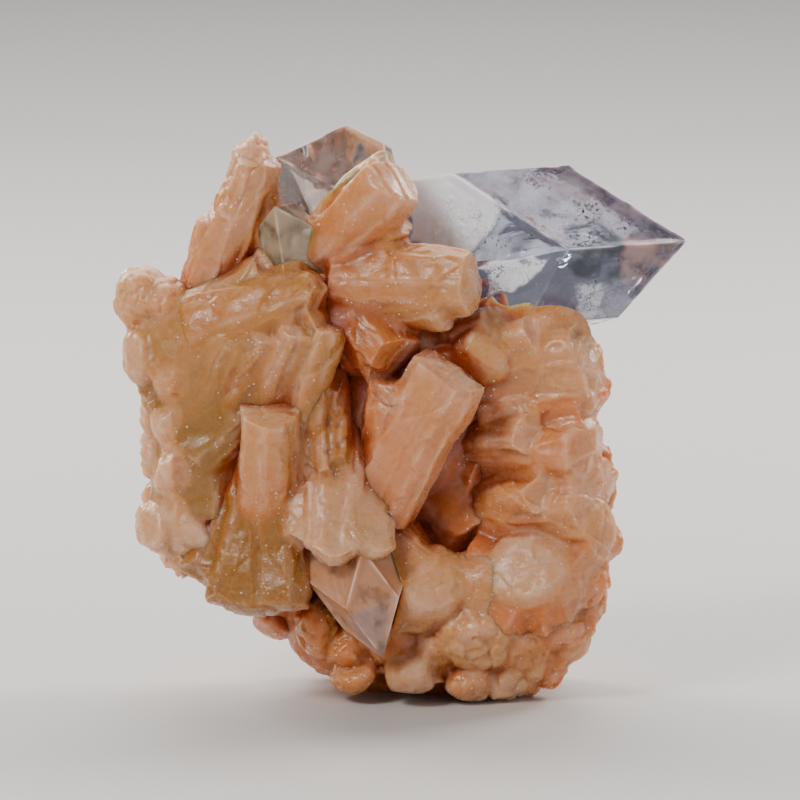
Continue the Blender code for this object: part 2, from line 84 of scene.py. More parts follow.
# blush (cream to orange), milk (clear to white), olive (greenish brown), edge (per mm: how sharp its
# edges are) and bud (mm: how far small crystal ends stand out of a knob)
finishes = {
    "palm": (0.22, 0.10, 0.84, 2.2, 0.1),
    "finger": (0.36, 0.28, 0.36, 1.7, 0.1),
    "rim": (0.50, 0.62, 0.00, 4.0, 0.35),
    "lilac": (0.30, 0.86, 0.12, 2.6, 0.20),
    "column": (0.48, 0.36, 0.10, 5.0, 0.1),
    "skirt": (0.62, 0.02, 0.78, 3.6, 0.1),
    "thin": (0.74, 0.04, 0.62, 7.0, 0.1),
    "glassy": (0.42, 0.66, 0.12, 6.0, 0.1),
    "long": (0.62, 0.54, 0.20, 4.0, 0.1),
    "tip": (0.20, 1.00, 0.10, 6.0, 0.1),
    "block": (0.58, 0.36, 0.10, 4.0, 0.1),
    "wide": (0.35, 0.40, 0.22, 2.6, 0.1),
    "red": (0.95, 0.06, 0.38, 3.0, 0.1),
    "blade": (0.60, 0.48, 0.00, 4.5, 0.1),
    "petal": (0.64, 0.44, 0.00, 3.4, 0.34),
    "petalPale": (0.50, 0.52, 0.04, 3.0, 0.1),
    "petalDeep": (0.84, 0.24, 0.04, 3.0, 0.34),
    "dome": (0.36, 0.78, 0.04, 2.2, 0.14),
    "lobe": (0.50, 0.40, 0.15, 2.0, 0.12),
    "ball": (0.40, 0.60, 0.30, 2.0, 0.04),
    "knob": (0.62, 0.45, 0.20, 3.0, 0.22),
    "foot": (0.80, 0.22, 0.20, 3.0, 0.34),
    "core": (1.00, 0.00, 0.24, 3.0, 0.06),
    "flank": (0.84, 0.16, 0.14, 3.0, 0.36),
    "back": (0.74, 0.28, 0.12, 4.0, 0.3),
}
tilt = math.radians(view["elevation"])


def unit(vector):
    vector = np.asarray(vector, float)
    return vector / np.linalg.norm(vector)


def randomWay(chance):
    return unit([chance.gauss(0, 1) for _ in range(3)])


def seen(across, up, forward):
    # the point that shows this far across and up in the front view, this far forward
    return np.array([across, -forward, (up + forward * math.sin(tilt)) / math.cos(tilt)])


def facing(across, up, forward):
    # the direction that the front view shows as this far across, up and towards the viewer
    y = up * math.sin(tilt) - forward * math.cos(tilt)
    z = up * math.cos(tilt) + forward * math.sin(tilt)
    return unit([across, y, z])


# a crystal is a set of planes around a middle, in mm
def crystalOf(normals, reach, base, axes, middle, half, finish, seed, egg=None):
    chance = random.Random(seed + 5)
    blush, milk, olive, sharp, bud = finishes[finish]
    stray = making["stray"]
    tone = (blush + chance.uniform(-stray, stray), milk + chance.uniform(-stray, stray), olive, sharp, bud)
    return {
        "normals": normals, "reach": reach, "base": base, "axes": axes, "middle": middle,
        "half": np.asarray(half, float), "finish": tone, "seed": seed, "egg": egg,
        "radius": float(np.linalg.norm(half)) * 1.1,  # of a ball that holds the whole crystal
    }


def blade(base, tip, face, width, thick, finish, point=0.42, bevel=0.6, slant=0.0):
    # a flat block with cut long edges; the end planes slope by point across and by bevel front to back
    base, tip = np.asarray(base, float), np.asarray(tip, float)
    length = np.linalg.norm(tip - base)
    along = (tip - base) / length
    out = unit(face - np.dot(face, along) * along)
    axes = np.array([np.cross(out, along), out, along])
    corner = (width / 2 + thick / 2 - making["cut"] * thick) / math.sqrt(2)
    end = np.array([slant * width, 0, length])
    normals = [(1, 0, 0), (-1, 0, 0), (0, 1, 0), (0, -1, 0), (0, 0, -1)]
    reach = [width / 2, width / 2, thick / 2, thick / 2, 0.0]
    for side in (-1, 1):
        for front in (-1, 1):
            normals.append(unit((side, front, 0)))
            reach.append(corner)
    for side in (-1, 1):
        normals.append(unit((side * 2 * point, 0, 1)))
        reach.append(float(np.dot(normals[-1], end)))
    for front in (-1, 1):
        normals.append(unit((0, front * bevel, 1)))
        reach.append(float(np.dot(normals[-1], end - (0, 0, making["blunt"] * thick))))
    normals = np.array(normals) @ axes
    reach = np.array(reach) + normals @ base
    seed = int(abs(base[0] * 131 + base[2] * 71 + tip[0] * 37 + tip[2] * 17) * 10) % 9973
    middle = (base + tip) / 2
    return crystalOf(normals, reach, base, axes, middle, (width / 2, thick / 2, length / 2), finish, seed)


def sheaf(root, tip, face, width, thick, count, spread, seed, finish, layers=1, bow=16.0):
    # a fan of blades from one root: count across the fan, in layers that bow apart front to back
    chance = random.Random(seed)
    length = np.linalg.norm(tip - root)
    along = (tip - root) / length
    out = unit(face - np.dot(face, along) * along)
    across = np.cross(out, along)
    made = []
    for layer in range(layers):
        step = layer - (layers - 1) / 2
        for place in range(count):
            share = 2 * place / (count - 1) - 1 if count > 1 else 0.0
            turn = math.radians(share * spread / 2 + chance.uniform(-2, 2))
            lift = math.radians(step * bow + chance.uniform(-2, 2))
            heading = along * math.cos(turn) + across * math.sin(turn)
            heading = heading * math.cos(lift) + out * math.sin(lift)
            far = length * (1 - 0.08 * share * share - 0.06 * abs(step)) * chance.uniform(0.94, 1.0)
            start = root + across * share * width * 0.3 + out * step * thick * 0.5
            side = out * math.cos(lift) - along * math.sin(lift)
            wide, deep = width * chance.uniform(0.92, 1.08), thick * chance.uniform(0.92, 1.08)
            made.append(blade(start, start + heading * far, side, wide, deep, finish))
    return made


def knob(middle, size, seed, finish):
    # an egg with twelve flats, where many small blades end together
    chance = random.Random(seed)
    half = np.asarray(size, float) / 2
    normals, reach = [], []
    for _ in range(12):
        way = randomWay(chance)
        normals.append(way)
        reach.append(np.linalg.norm(way * half) * chance.uniform(0.84, 0.98))
    normals = np.array(normals)
    reach = np.array(reach) + normals @ middle
    return crystalOf(normals, reach, middle, np.eye(3), middle, half, finish, seed * 7 + 3, egg=half * 1.06)


def apophyllite(tip, axis, front, halves, length, facets=()):
    # a square prism whose four pyramid faces sit over the prism's edges: its planes alone
    front = unit(front - np.dot(front, axis) * axis)
    top = np.cross(axis, front)
    if top[2] < 0:
        top = -top
    normals = [front, top, -front, -top]
    reach = [np.dot(tip, way) + half for way, half in zip(normals, halves)]
    for sideways in (-1, 1):
        for upwards in (-1, 1):
            normals.append(unit(axis + making["pyramid"] * (sideways * front + upwards * top)))
            reach.append(np.dot(tip, normals[-1]))
    for way, distance in facets:
        normals.append(way)
        reach.append(np.dot(tip, way) + distance)
    normals.append(-axis)
    reach.append(length - np.dot(tip, axis))
    return np.array(normals), np.array(reach)


def cornersOf(normals, reach):
    # corners of a solid of planes: every meeting point of three planes that no other plane cuts off
    count = len(normals)
    a, b, c = np.array([(i, j, k) for i in range(count) for j in range(i) for k in range(j)]).T
    systems = np.stack([normals[a], normals[b], normals[c]], axis=1)
    sides = np.stack([reach[a], reach[b], reach[c]], axis=1)
    solid = np.abs(np.linalg.det(systems)) > 1e-6
    points = np.linalg.solve(systems[solid], sides[solid][:, :, None])[:, :, 0]
    return points[np.all(points @ normals.T <= reach + 1e-6, axis=1)]


# noise
def cornerNumber(cell, seed):
    # a steady random number from 0 to 1 for each whole-numbered cell
    mixed = cell[..., 0] * 73856093 ^ cell[..., 1] * 19349663 ^ cell[..., 2] * 83492791 ^ seed * 2654435
    mixed = (mixed ^ (mixed >> 13)) * 1274126177 & 0xFFFFFFFF
    mixed = (mixed ^ (mixed >> 16)) * 2246822519 & 0xFFFFFFFF
    return ((mixed >> 8) & 0xFFFF) / 65535.0


def noise(points, size, seed):
    # random numbers at the corners of a lattice, blended by 3t^2 - 2t^3 along each side: -1 to 1
    q = points / np.asarray(size, float)
    low = np.floor(q).astype(np.int64)
    t = q - low
    t = t * t * (3 - 2 * t)
    total = np.zeros(len(points))
    for corner in range(8):
        step = np.array([corner & 1, corner >> 1 & 1, corner >> 2 & 1])
        weight = np.prod(np.where(step, t, 1 - t), axis=1)
        total += weight * cornerNumber(low + step, seed)
    return total * 2 - 1


def cells(points, size, seed):
    # one point is strewn in each cell: the way from the nearest one, over the cell's size, and a random way
    # that belongs to its cell
    q = points / size
    low = np.floor(q).astype(np.int64)
    best = np.full(len(points), 9.0)
    way = np.zeros_like(q)
    own = np.zeros_like(q)
    for dx in (-1, 0, 1):
        for dy in (-1, 0, 1):
            for dz in (-1, 0, 1):
                cell = low + (dx, dy, dz)
                spot = cell + np.stack([cornerNumber(cell, seed + k) for k in (1, 2, 3)], axis=1)
                far = np.sum((spot - q) ** 2, axis=1)
                near = far < best
                best[near] = far[near]
                way[near] = (q - spot)[near]
                own[near] = np.stack([cornerNumber(cell[near], seed + k) for k in (4, 5, 6)], axis=1) - 0.5
    return way, own


def smooth(low, high, value):
    # 0 up to low, 1 from high on, and 3t^2 - 2t^3 between them
    t = np.clip((value - low) / (high - low), 0, 1)
    return t * t * (3 - 2 * t)


# surfaces
def crystalSurface(crystal):
    # P(s, f) = m + D / (sum of max(0, n.D / h)^p)^(1/p), where D runs over an egg of the crystal's half
    # sizes, n and h are each face's direction and its distance from the middle m, and p is the squareness
    rows, columns, power = making["rows"], making["columns"], making["power"]
    s = (np.arange(rows) + 0.5) / rows * np.pi
    f = np.arange(columns) / columns * 2 * np.pi
    s, f = np.meshgrid(s, f, indexing="ij")
    egg = np.stack([np.sin(s) * np.cos(f), np.sin(s) * np.sin(f), np.cos(s)], axis=-1).reshape(-1, 3)
    egg = np.vstack([egg, [0, 0, 1], [0, 0, -1]])
    ways = (egg * crystal["half"]) @ crystal["axes"]
    heights = crystal["reach"] - crystal["normals"] @ crystal["middle"]
    share = np.maximum(0, ways @ crystal["normals"].T / heights)
    total = np.sum(share ** power, axis=1)
    if crystal["egg"] is not None:
        total += np.linalg.norm(ways / crystal["egg"], axis=1) ** power
    points = crystal["middle"] + ways / total[:, None] ** (1 / power)
    here = np.arange(rows * columns).reshape(rows, columns)
    right = np.roll(here, -1, axis=1)
    a, b, c, d = here[:-1], here[1:], right[1:], right[:-1]
    faces = np.concatenate([np.stack([a, b, c], -1).reshape(-1, 3), np.stack([a, c, d], -1).reshape(-1, 3)])
    top, bottom = rows * columns, rows * columns + 1
    caps = [np.stack([np.full(columns, top), here[0], right[0]], -1),
            np.stack([np.full(columns, bottom), right[-1], here[-1]], -1)]
    return points, np.concatenate([faces] + caps)


def meshOf(name, points, faces):
    mesh = bpy.data.meshes.new(name)
    mesh.vertices.add(len(points))
    mesh.vertices.foreach_set("co", np.asarray(points, np.float32).ravel())
    width = faces.shape[1]
    mesh.loops.add(faces.size)
    mesh.loops.foreach_set("vertex_index", faces.ravel().astype(np.int32))
    mesh.polygons.add(len(faces))
    mesh.polygons.foreach_set("loop_start", np.arange(0, faces.size, width, dtype=np.int32))
    mesh.update(calc_edges=True)
    return mesh


def objectOf(name, mesh):
    made = bpy.data.objects.new(name, mesh)
    bpy.context.scene.collection.objects.link(made)
    return made


def pointsOf(mesh):
    points = np.empty(len(mesh.vertices) * 3, np.float32)
    mesh.vertices.foreach_get("co", points)
    return points.reshape(-1, 3).astype(float)


def normalsOf(mesh):
    normals = np.empty(len(mesh.vertices) * 3, np.float32)
    mesh.vertex_normals.foreach_get("vector", normals)
    return normals.reshape(-1, 3).astype(float)


def workedOut(target):
    # the object's mesh with its modifiers worked out, which then replaces them
    depsgraph = bpy.context.evaluated_depsgraph_get()
    mesh = bpy.data.meshes.new_from_object(target.evaluated_get(depsgraph))
    target.modifiers.clear()
    target.data = mesh
    return mesh


def faceDistances(crystal, points):
    # how far each point is outside each face plane, with the egg's own distance as one more
    values = points @ crystal["normals"].T - crystal["reach"]
    if crystal["egg"] is not None:
        egg = crystal["egg"]
        ratio = np.linalg.norm((points - crystal["middle"]) / egg, axis=1)
        values = np.column_stack([values, (ratio - 1) * egg.mean()])
    return values


def owners(crystals, points):
    # the joined surface's distance -ln(sum of exp(-k f)) / k, where f is each crystal's own distance with
    # its edges rounded by ln(sum of exp(e p)) / e over its planes p; with it the way out, the nearest
    # crystal, how far the next one is, how near an edge the point is, and the finishes blended over seams
    count = len(points)
    best, second, ridge = np.full(count, 9.0), np.full(count, 9.0), np.full(count, 9.0)
    owner = np.zeros(count, int)
    weights, outward, blended = np.full(count, 1e-12), np.zeros((count, 3)), np.zeros((count, 5))
    seam = making["seam"]
    for index, crystal in enumerate(crystals):
        away = np.sum((points - crystal["middle"]) ** 2, axis=1)
        near = np.flatnonzero(away < (crystal["radius"] + 1.5) ** 2)
        if not len(near):
            continue
        values = faceDistances(crystal, points[near])
        highest = values.max(axis=1)
        sharp = crystal["finish"][3]
        share = np.exp(sharp * (values - highest[:, None]))
        total = share.sum(axis=1)
        rounded = highest + np.log(total) / sharp
        planes = share[:, :len(crystal["normals"])] @ crystal["normals"] / total[:, None]
        if crystal["egg"] is not None:
            radial = (points[near] - crystal["middle"]) / crystal["egg"] ** 2
            radial /= np.linalg.norm(radial, axis=1)[:, None] + 1e-9
            planes += radial * (share[:, -1] / total)[:, None]
        following = np.partition(values, -2, axis=1)[:, -2]
        weight = np.exp(-seam * np.clip(rounded, -3, 6))
        weights[near] += weight
        outward[near] += weight[:, None] * planes
        blended[near] += weight[:, None] * crystal["finish"]
        wins = rounded < best[near]
        second[near] = np.where(wins, best[near], np.minimum(second[near], rounded))
        mine = near[wins]
        best[mine] = rounded[wins]
        owner[mine] = index
        ridge[mine] = highest[wins] - following[wins]
    distance = -np.log(weights) / seam
    return distance, outward / weights[:, None], owner, second - best, ridge, blended / weights[:, None]


def stepsOf(crystals):
    # each crystal's missing layers: for each, a way in its own axes, where it starts and how deep it is
    choices = (
        (1, 0, 0), (-1, 0, 0), (0.75, 0, 0.66), (-0.75, 0, 0.66), (0, 0.8, 0.6), (0, -1, 0), (0, 1, 0),
    )
    ways, starts, depths = [], [], []
    for crystal in crystals:
        chance = random.Random(crystal["seed"])
        half = crystal["half"]
        for _ in range(making["stepCount"]):
            way = unit(choices[chance.randrange(len(choices))])
            far = abs(way[0]) * half[0] + abs(way[1]) * half[1] + abs(way[2]) * half[2]
            ways.append(way)
            starts.append(way[2] * half[2] + far * chance.uniform(0.1, 0.8))
            depths.append(chance.uniform(0.3, 1.0))
    shape = (len(crystals), making["stepCount"])
    ways = np.array(ways).reshape(shape + (3,))
    return ways, np.array(starts).reshape(shape), np.array(depths).reshape(shape)


# the stilbite's surface, in mm: height of the lumps, steps, ridges, grain and chips, and the size of lumps
# and buds; how far its faces are warped, with the share of that in the finer warp; how far one pass pulls a
# point onto its crystal; the share of the relief left in a seam; and the width of the painted highlight on
# crests
stilbiteSurface = {
    "lump": 0.22, "lumpSize": 3.6, "step": 0.24, "ridge": 0.035, "grain": 0.03, "chip": 0.30, "budSize": 1.6,
    "warp": 0.40, "warpSize": 4.5, "fineWarp": 0.35, "fineWarpSize": 1.7, "pull": 0.3, "seamRelief": 0.2,
    "crest": 0.35,
}


def reliefOf(crystals, owner, points, ridge):
    # lumps + missing layers + ridges along the crystal + grain, each from the crystal's own coordinates;
    # on a knob the layers and ridges give way to small tilted facets, one to a cell
    base = np.array([crystal["base"] for crystal in crystals])[owner]
    axes = np.array([crystal["axes"] for crystal in crystals])[owner]
    seeds = np.array([crystal["seed"] for crystal in crystals])[owner]
    knobby = np.array([crystal["egg"] is not None for crystal in crystals])[owner]
    local = np.einsum("nij,nj->ni", axes, points - base)
    moved = local + (seeds * 3.7)[:, None]
    lumps = noise(moved, stilbiteSurface["lumpSize"], 1) * stilbiteSurface["lump"]
    wobble = noise(moved, 1.6, 2) * 0.3 + noise(moved, 0.6, 8) * 0.08
    ways, starts, depths = stepsOf(crystals)
    layers = np.zeros(len(points))
    for step in range(making["stepCount"]):
        past = np.einsum("ni,ni->n", local, ways[owner, step]) + wobble - starts[owner, step]
        layers -= depths[owner, step] * smooth(-0.12, 0.12, past)
    ridges = noise(moved, (0.85, 0.85, 9.0), 3) + 0.5 * noise(moved, (0.4, 0.4, 5.0), 4)
    fine = noise(moved, 0.5, 5) * stilbiteSurface["grain"]
    chips = -stilbiteSurface["chip"] * smooth(0.2, 0.75, noise(moved, 1.3, 6)) * smooth(0.9, 0.0, ridge)
    way, own = cells(moved, stilbiteSurface["budSize"], 7)
    stand = np.array([crystal["finish"][4] for crystal in crystals])[owner]
    buds = (np.einsum("ni,ni->n", way, own) * 2.6 + 0.25 - 0.6 * np.linalg.norm(way, axis=1)) * stand
    blades = layers * stilbiteSurface["step"] + ridges * stilbiteSurface["ridge"] + chips
    return lumps + fine + np.where(knobby, buds, blades), local


# the hollow field says how enclosed a place is; it sets the painted shade, a deep orange, in the stilbite's
# hollows
hollows = {
    "low": (-36.0, -24.0, -4.0),  # mm: the lattice's lowest corner
    "high": (36.0, 24.0, 70.0),
    "size": 0.7,  # mm of one cell
    "blurs": (1.3, 3.2),  # mm: widths of the two bell curves
    "looks": (1.1, 2.4),  # mm outside the surface where each of them is read
    "shares": (0.45, 0.75),  # of each in the shade
}


def hollowField(crystals):
    # whether each cell of a coarse lattice is inside a crystal, blurred by a narrow and by a wide bell curve
    low, high, size = np.array(hollows["low"]), np.array(hollows["high"]), hollows["size"]
    ticks = [np.arange(low[axis], high[axis], size) for axis in range(3)]
    filled = np.zeros([len(tick) for tick in ticks])
    for crystal in crystals:
        reach = crystal["radius"]
        spans = [np.flatnonzero(np.abs(ticks[axis] - crystal["middle"][axis]) < reach) for axis in range(3)]
        block = np.ix_(*spans)
        grid = np.meshgrid(*[ticks[axis][spans[axis]] for axis in range(3)], indexing="ij")
        inside = faceDistances(crystal, np.stack(grid, -1).reshape(-1, 3)).max(axis=1) < 0
        filled[block] = np.maximum(filled[block], inside.reshape(grid[0].shape))
    waves = [np.fft.fftfreq(n, size) for n in filled.shape[:2]] + [np.fft.rfftfreq(filled.shape[2], size)]
    a, b, c = np.meshgrid(*waves, indexing="ij")
    fields = []
    for width in hollows["blurs"]:
        bell = np.exp(-2 * np.pi ** 2 * width ** 2 * (a * a + b * b + c * c))
        fields.append(np.fft.irfftn(np.fft.rfftn(filled) * bell, s=filled.shape))
    return {"low": low, "size": size, "fields": fields}


def sampled(field, which, points):
    # the lattice's value at each point, blended between its eight neighbours
    values = field["fields"][which]
    q = np.clip((points - field["low"]) / field["size"], 0, np.array(values.shape) - 1.001)
    low = q.astype(int)
    t = q - low
    total = np.zeros(len(points))
    for corner in range(8):
        step = np.array([corner & 1, corner >> 1 & 1, corner >> 2 & 1])
        weight = np.prod(np.where(step, t, 1 - t), axis=1)
        x, y, z = (low + step).T
        total += weight * values[x, y, z]
    return total


# The stilbite's pieces. Each place is across, up and forward in the front view. A group of blades has its
# finish and the way it faces, and then, for each blade, base, tip, width, thickness and the slopes of its
# end: point, bevel and slant. A knob is middle, size and finish, with the first seed and the step to the
# next in knobSeeds. A sheaf is root, tip, the way it faces and its blades' width, with the rest in fan.
def crystalsFrom(settings):
    made = []
    for finish, face, rows in settings.get("blades", ()):
        for base, tip, width, thick, *ends in rows:
            made.append(blade(seen(*base), seen(*tip), facing(*face), width, thick, finish, *ends))
    for place, (middle, size, finish) in enumerate(settings.get("knobs", ())):
        first, step = settings["knobSeeds"]
        made.append(knob(seen(*middle), size, first + step * place, finish))
    for place, (root, tip, face, width) in enumerate(settings.get("sheaves", ())):
        seed = settings["sheafSeed"] + place
        made += sheaf(seen(*root), seen(*tip), facing(*face), width, seed=seed, **settings["fan"])
    return made


# the broad sheaf at the left: palms, fingers, and small crystals round its rim
leftSheaf = {
    "blades": (
        ("palm", (-0.22, 0.1, 0.96), (
            ((-21.9, 20.5, 2.0), (-21.6, 41.5, 3.5), 10.4, 9.0, 0.1, 0.3),
            ((-24.5, 29.0, 2.5), (-9.5, 43.8, 4.5), 14.0, 8.5, 0.12, 0.3),
        )),
        ("finger", (-0.16, 0.36, 0.9), (
            ((-27.0, 36.0, 2.0), (-11.5, 46.0, 5.0), 11.0, 8.5, 0.15, 0.3),
            ((-22.8, 40.2, 4.5), (-6.3, 45.6, 7.6), 7.6, 7.0, 0.5),
            ((-24.0, 37.6, 4.0), (-9.6, 43.4, 7.0), 7.0, 7.0, 0.22),
        )),
        ("finger", (-0.35, 0.2, 0.9), (
            ((-11.2, 29.4, 6.0), (-7.2, 42.4, 9.2), 4.3, 6.0, 0.3, 0.4),
            ((-15.2, 30.6, 5.6), (-10.6, 41.8, 8.8), 4.6, 6.0, 0.3, 0.4),
            ((-19.0, 31.2, 5.0), (-13.9, 41.4, 8.0), 5.0, 6.0, 0.3, 0.4),
            ((-23.0, 30.6, 4.0), (-17.4, 41.0, 7.2), 5.6, 6.0, 0.3, 0.4),
        )),
    ),
    "knobs": (
        ((-28.0, 44.1, 0.5), (6.6, 8.5, 6.2), "rim"),
        ((-25.6, 43.6, 1.4), (6.4, 8.0, 5.4), "rim"),
        ((-29.2, 42.6, 0.5), (4.4, 6.0, 4.6), "rim"),
        ((-28.0, 38.0, 2.0), (5.8, 8.0, 6.8), "lilac"),
        ((-26.6, 18.8, 3.0), (5.6, 7.5, 6.6), "lilac"),
        ((-22.6, 18.6, 3.5), (6.6, 8.0, 7.0), "lilac"),
        ((-23.4, 15.8, 1.5), (5.0, 8.0, 5.0), "rim"),
        ((-24.0, 17.5, -3.5), (6.5, 7.0, 7.5), "rim"),
    ),
    "knobSeeds": (100, 1),
    "sheaves": (
        ((-20.0, 39.0, -2.0), (-29.2, 41.5, -4.5), (0.05, -0.3, 0.95), 5.6),
        ((-19.0, 34.0, 0.0), (-30.6, 33.2, 2.5), (0.05, -0.3, 0.95), 5.0),
        ((-19.0, 29.0, 0.0), (-30.8, 28.4, 1.5), (0.05, -0.3, 0.95), 5.4),
        ((-19.0, 25.0, 0.0), (-30.6, 23.4, 2.5), (0.05, -0.3, 0.95), 5.2),
    ),
    "sheafSeed": 110,
    "fan": {"thick": 3.6, "count": 2, "spread": 24.0, "finish": "rim", "layers": 3, "bow": 20.0},
}

# the square column, the skirt under it, and the thin and glassy blades beside it
columnAndSkirt = {
    "blades": (
        ("column", (0.1, 0.1, 1), (
            ((-14.4, 19.0, 4.5), (-14.4, 32.6, 9.0), 6.6, 8.0, 0.04, 0.2),
        )),
        ("skirt", (-0.2, -0.1, 0.97), (
            ((-16.0, 26.0, 2.5), (-21.4, 12.2, 5.5), 7.4, 7.0, 0.06, 0.25),
            ((-14.6, 25.5, 3.5), (-17.9, 9.0, 7.5), 8.0, 7.0, 0.06, 0.25),
            ((-13.6, 25.5, 4.5), (-13.4, 8.9, 8.5), 7.4, 7.0, 0.06, 0.25),
        )),
        ("thin", (1, 0, 0.25), (
            ((-10.3, 22.5, 4.0), (-9.8, 37.4, 5.0), 9.0, 2.2, 0.25),
            ((-8.5, 21.5, 4.0), (-7.8, 38.6, 4.5), 9.0, 2.2, 0.25),
            ((-6.8, 22.5, 3.0), (-6.2, 36.8, 3.5), 9.0, 2.2, 0.25),
            ((-9.5, 35.0, 3.0), (-9.3, 24.0, 8.6), 5.0, 2.0, 0.25),
            ((-7.7, 36.5, 3.0), (-7.7, 23.4, 9.4), 5.0, 2.0, 0.25),
            ((-6.1, 35.5, 2.5), (-6.3, 24.6, 8.6), 5.0, 2.0, 0.25),
        )),
        ("glassy", (-0.45, 0.3, 1), (
            ((-9.2, 29.0, 4.0), (-10.0, 16.4, 11.4), 5.2, 3.2, 0.3, 0.2),
        )),
        ("glassy", (0.05, 0.3, 1), (
            ((-6.8, 30.0, 4.5), (-7.4, 14.6, 13.2), 6.2, 3.2, 0.3, 0.2),
        )),
        ("glassy", (0.45, 0.3, 1), (
            ((-4.2, 27.0, 4.5), (-3.2, 15.2, 12.8), 6.2, 3.2, 0.3, 0.2),
        )),
    ),
}

# the long blades at the top left, the red-orange block and the broad blades under it
upperBlades = {
    "blades": (
        ("long", (-0.45, 0.05, 0.9), (
            ((-21.4, 41.5, 1.0), (-15.0, 61.0, 3.0), 5.8, 6.6, 0.35),
            ((-22.8, 39.5, 0.0), (-19.6, 54.5, 1.5), 6.0, 6.0, 0.45),
        )),
        ("red", (-0.45, 0.05, 0.9), (
            ((-18.8, 42.5, 1.1), (-14.3, 57.5, 2.3), 4.8, 5.0, 0.35),
        )),
        ("tip", (-0.45, 0.05, 0.9), (
            ((-16.2, 55.0, 1.5), (-15.7, 62.6, 2.0), 3.4, 3.4, 0.6),
            ((-17.0, 55.0, 1.5), (-16.8, 61.4, 1.5), 2.6, 3.0, 0.3),
        )),
        ("block", (-0.3, 0.3, 0.9), (
            ((-8.4, 49.0, 2.0), (0.0, 57.7, 7.6), 7.6, 7.4, 0.1, 0.25, 0.08),
            ((-5.4, 46.4, 0.0), (-1.0, 54.0, 5.0), 7.0, 7.6, 0.15, 0.3),
        )),
        ("wide", (0.05, 0.35, 0.93), (
            ((-7.0, 46.6, 3.5), (9.2, 45.2, 8.6), 8.0, 7.4, 0.14, 0.3),
            ((-6.0, 44.8, 1.0), (6.4, 43.4, 8.0), 6.6, 8.0, 0.14, 0.25),
        )),
        ("red", (-0.35, 0.1, 0.93), (
            ((-8.5, 45.0, 1.0), (0.0, 36.1, 7.5), 7.8, 8.4, 0.05, 0.25),
        )),
        ("red", (0.2, 0, 1), (
            ((-6.0, 45.5, -2.0), (-2.4, 34.8, 5.0), 7.5, 8.0, 0.25),
        )),
        ("blade", (-0.28, 0.12, 0.95), (
            ((-2.4, 20.8, 5.0), (6.2, 37.2, 9.6), 8.8, 7.0, 0.12, 0.3, -0.12),
        )),
        ("blade", (-0.6, 0.1, 0.8), (
            ((-2.8, 22.0, 2.0), (-0.2, 34.8, 8.5), 6.0, 6.0, 0.2, 0.4),
        )),
    ),
}

# the fan of petals at the right, with the knobs of its rim
rightRosette = {
    "blades": (
        ("petalPale", (-0.15, 0.45, 0.88), (
            ((2.5, 37.2, 0.0), (12.0, 41.6, 4.2), 6.4, 8.0, 0.16, 0.3),
            ((3.0, 36.4, 1.0), (16.6, 40.2, 4.4), 7.4, 8.0, 0.16, 0.3),
            ((4.0, 35.6, 0.5), (21.4, 38.2, 4.6), 7.4, 8.4, 0.16, 0.3),
            ((5.0, 34.4, 1.0), (22.6, 36.0, 4.8), 7.4, 8.4, 0.16, 0.3),
        )),
        ("petalDeep", (-0.1, 0.2, 0.97), (
            ((9.6, 33.6, 1.0), (22.8, 34.2, 4.2), 5.4, 9.0, 0.1, 0.3),
            ((9.2, 31.6, 1.0), (22.4, 31.8, 4.6), 6.4, 9.0, 0.1, 0.3),
        )),
        ("petalPale", (-0.55, 0.1, 0.83), (
            ((18.0, 37.0, 0.0), (11.8, 29.6, 5.6), 6.6, 6.0, 0.15, 0.3),
        )),
        ("petal", (-0.05, -0.12, 0.98), (
            ((3.5, 28.4, -4.0), (16.6, 29.2, 6.8), 5.6, 9.0, 0.2, 0.4),
            ((4.0, 27.2, -3.5), (22.0, 27.6, 7.2), 6.6, 9.0, 0.2, 0.4),
            ((6.5, 24.6, -3.0), (22.6, 24.4, 6.0), 6.6, 9.0, 0.2, 0.4),
        )),
        ("petalPale", (-0.1, 0.2, 0.97), (
            ((8.8, 21.2, -1.0), (17.8, 22.6, 8.4), 6.0, 8.6, 0.2, 0.4),
            ((9.2, 19.8, -0.5), (22.4, 20.8, 7.8), 6.6, 9.0, 0.2, 0.4),
        )),
        ("petal", (-0.1, 0.2, 0.97), (
            ((9.2, 18.2, -0.5), (24.0, 18.2, 6.6), 6.6, 9.0, 0.2, 0.4),
            ((14.0, 27.0, -2.0), (23.4, 22.4, 3.8), 6.0, 9.0, 0.2, 0.4),
        )),
        ("petalDeep", (-0.05, -0.12, 0.98), (
            ((9.0, 16.0, 2.0), (22.5, 14.2, 6.8), 6.6, 9.0, 0.2, 0.4),
            ((8.0, 14.8, 2.5), (21.4, 11.0, 7.6), 7.2, 9.0, 0.2, 0.4),
            ((7.0, 14.0, 3.5), (19.2, 9.0, 7.6), 7.4, 9.0, 0.2, 0.4),
            ((6.0, 13.0, 3.5), (15.2, 7.6, 7.6), 7.0, 8.5, 0.2, 0.4),
        )),
    ),
    "knobs": (
        ((9.6, 38.8, 1.4), (12.0, 12.0, 9.6), "petalPale"),
        ((15.4, 39.2, 1.2), (11.0, 12.0, 9.4), "petalPale"),
        ((19.0, 37.4, 1.8), (6.4, 9.0, 6.6), "petal"),
        ((19.8, 33.4, 1.6), (6.0, 9.0, 6.0), "petalDeep"),
        ((19.4, 29.0, 2.4), (6.4, 9.0, 5.6), "petal"),
        ((20.0, 24.2, 2.8), (6.4, 9.0, 5.8), "petalDeep"),
        ((21.0, 17.6, 3.0), (6.4, 9.0, 6.6), "petal"),
        ((20.0, 13.0, 3.6), (7.0, 10.0, 7.0), "petalDeep"),
        ((15.0, 13.8, 6.0), (13.0, 11.0, 9.4), "dome"),
    ),
    "knobSeeds": (7, 11),
}

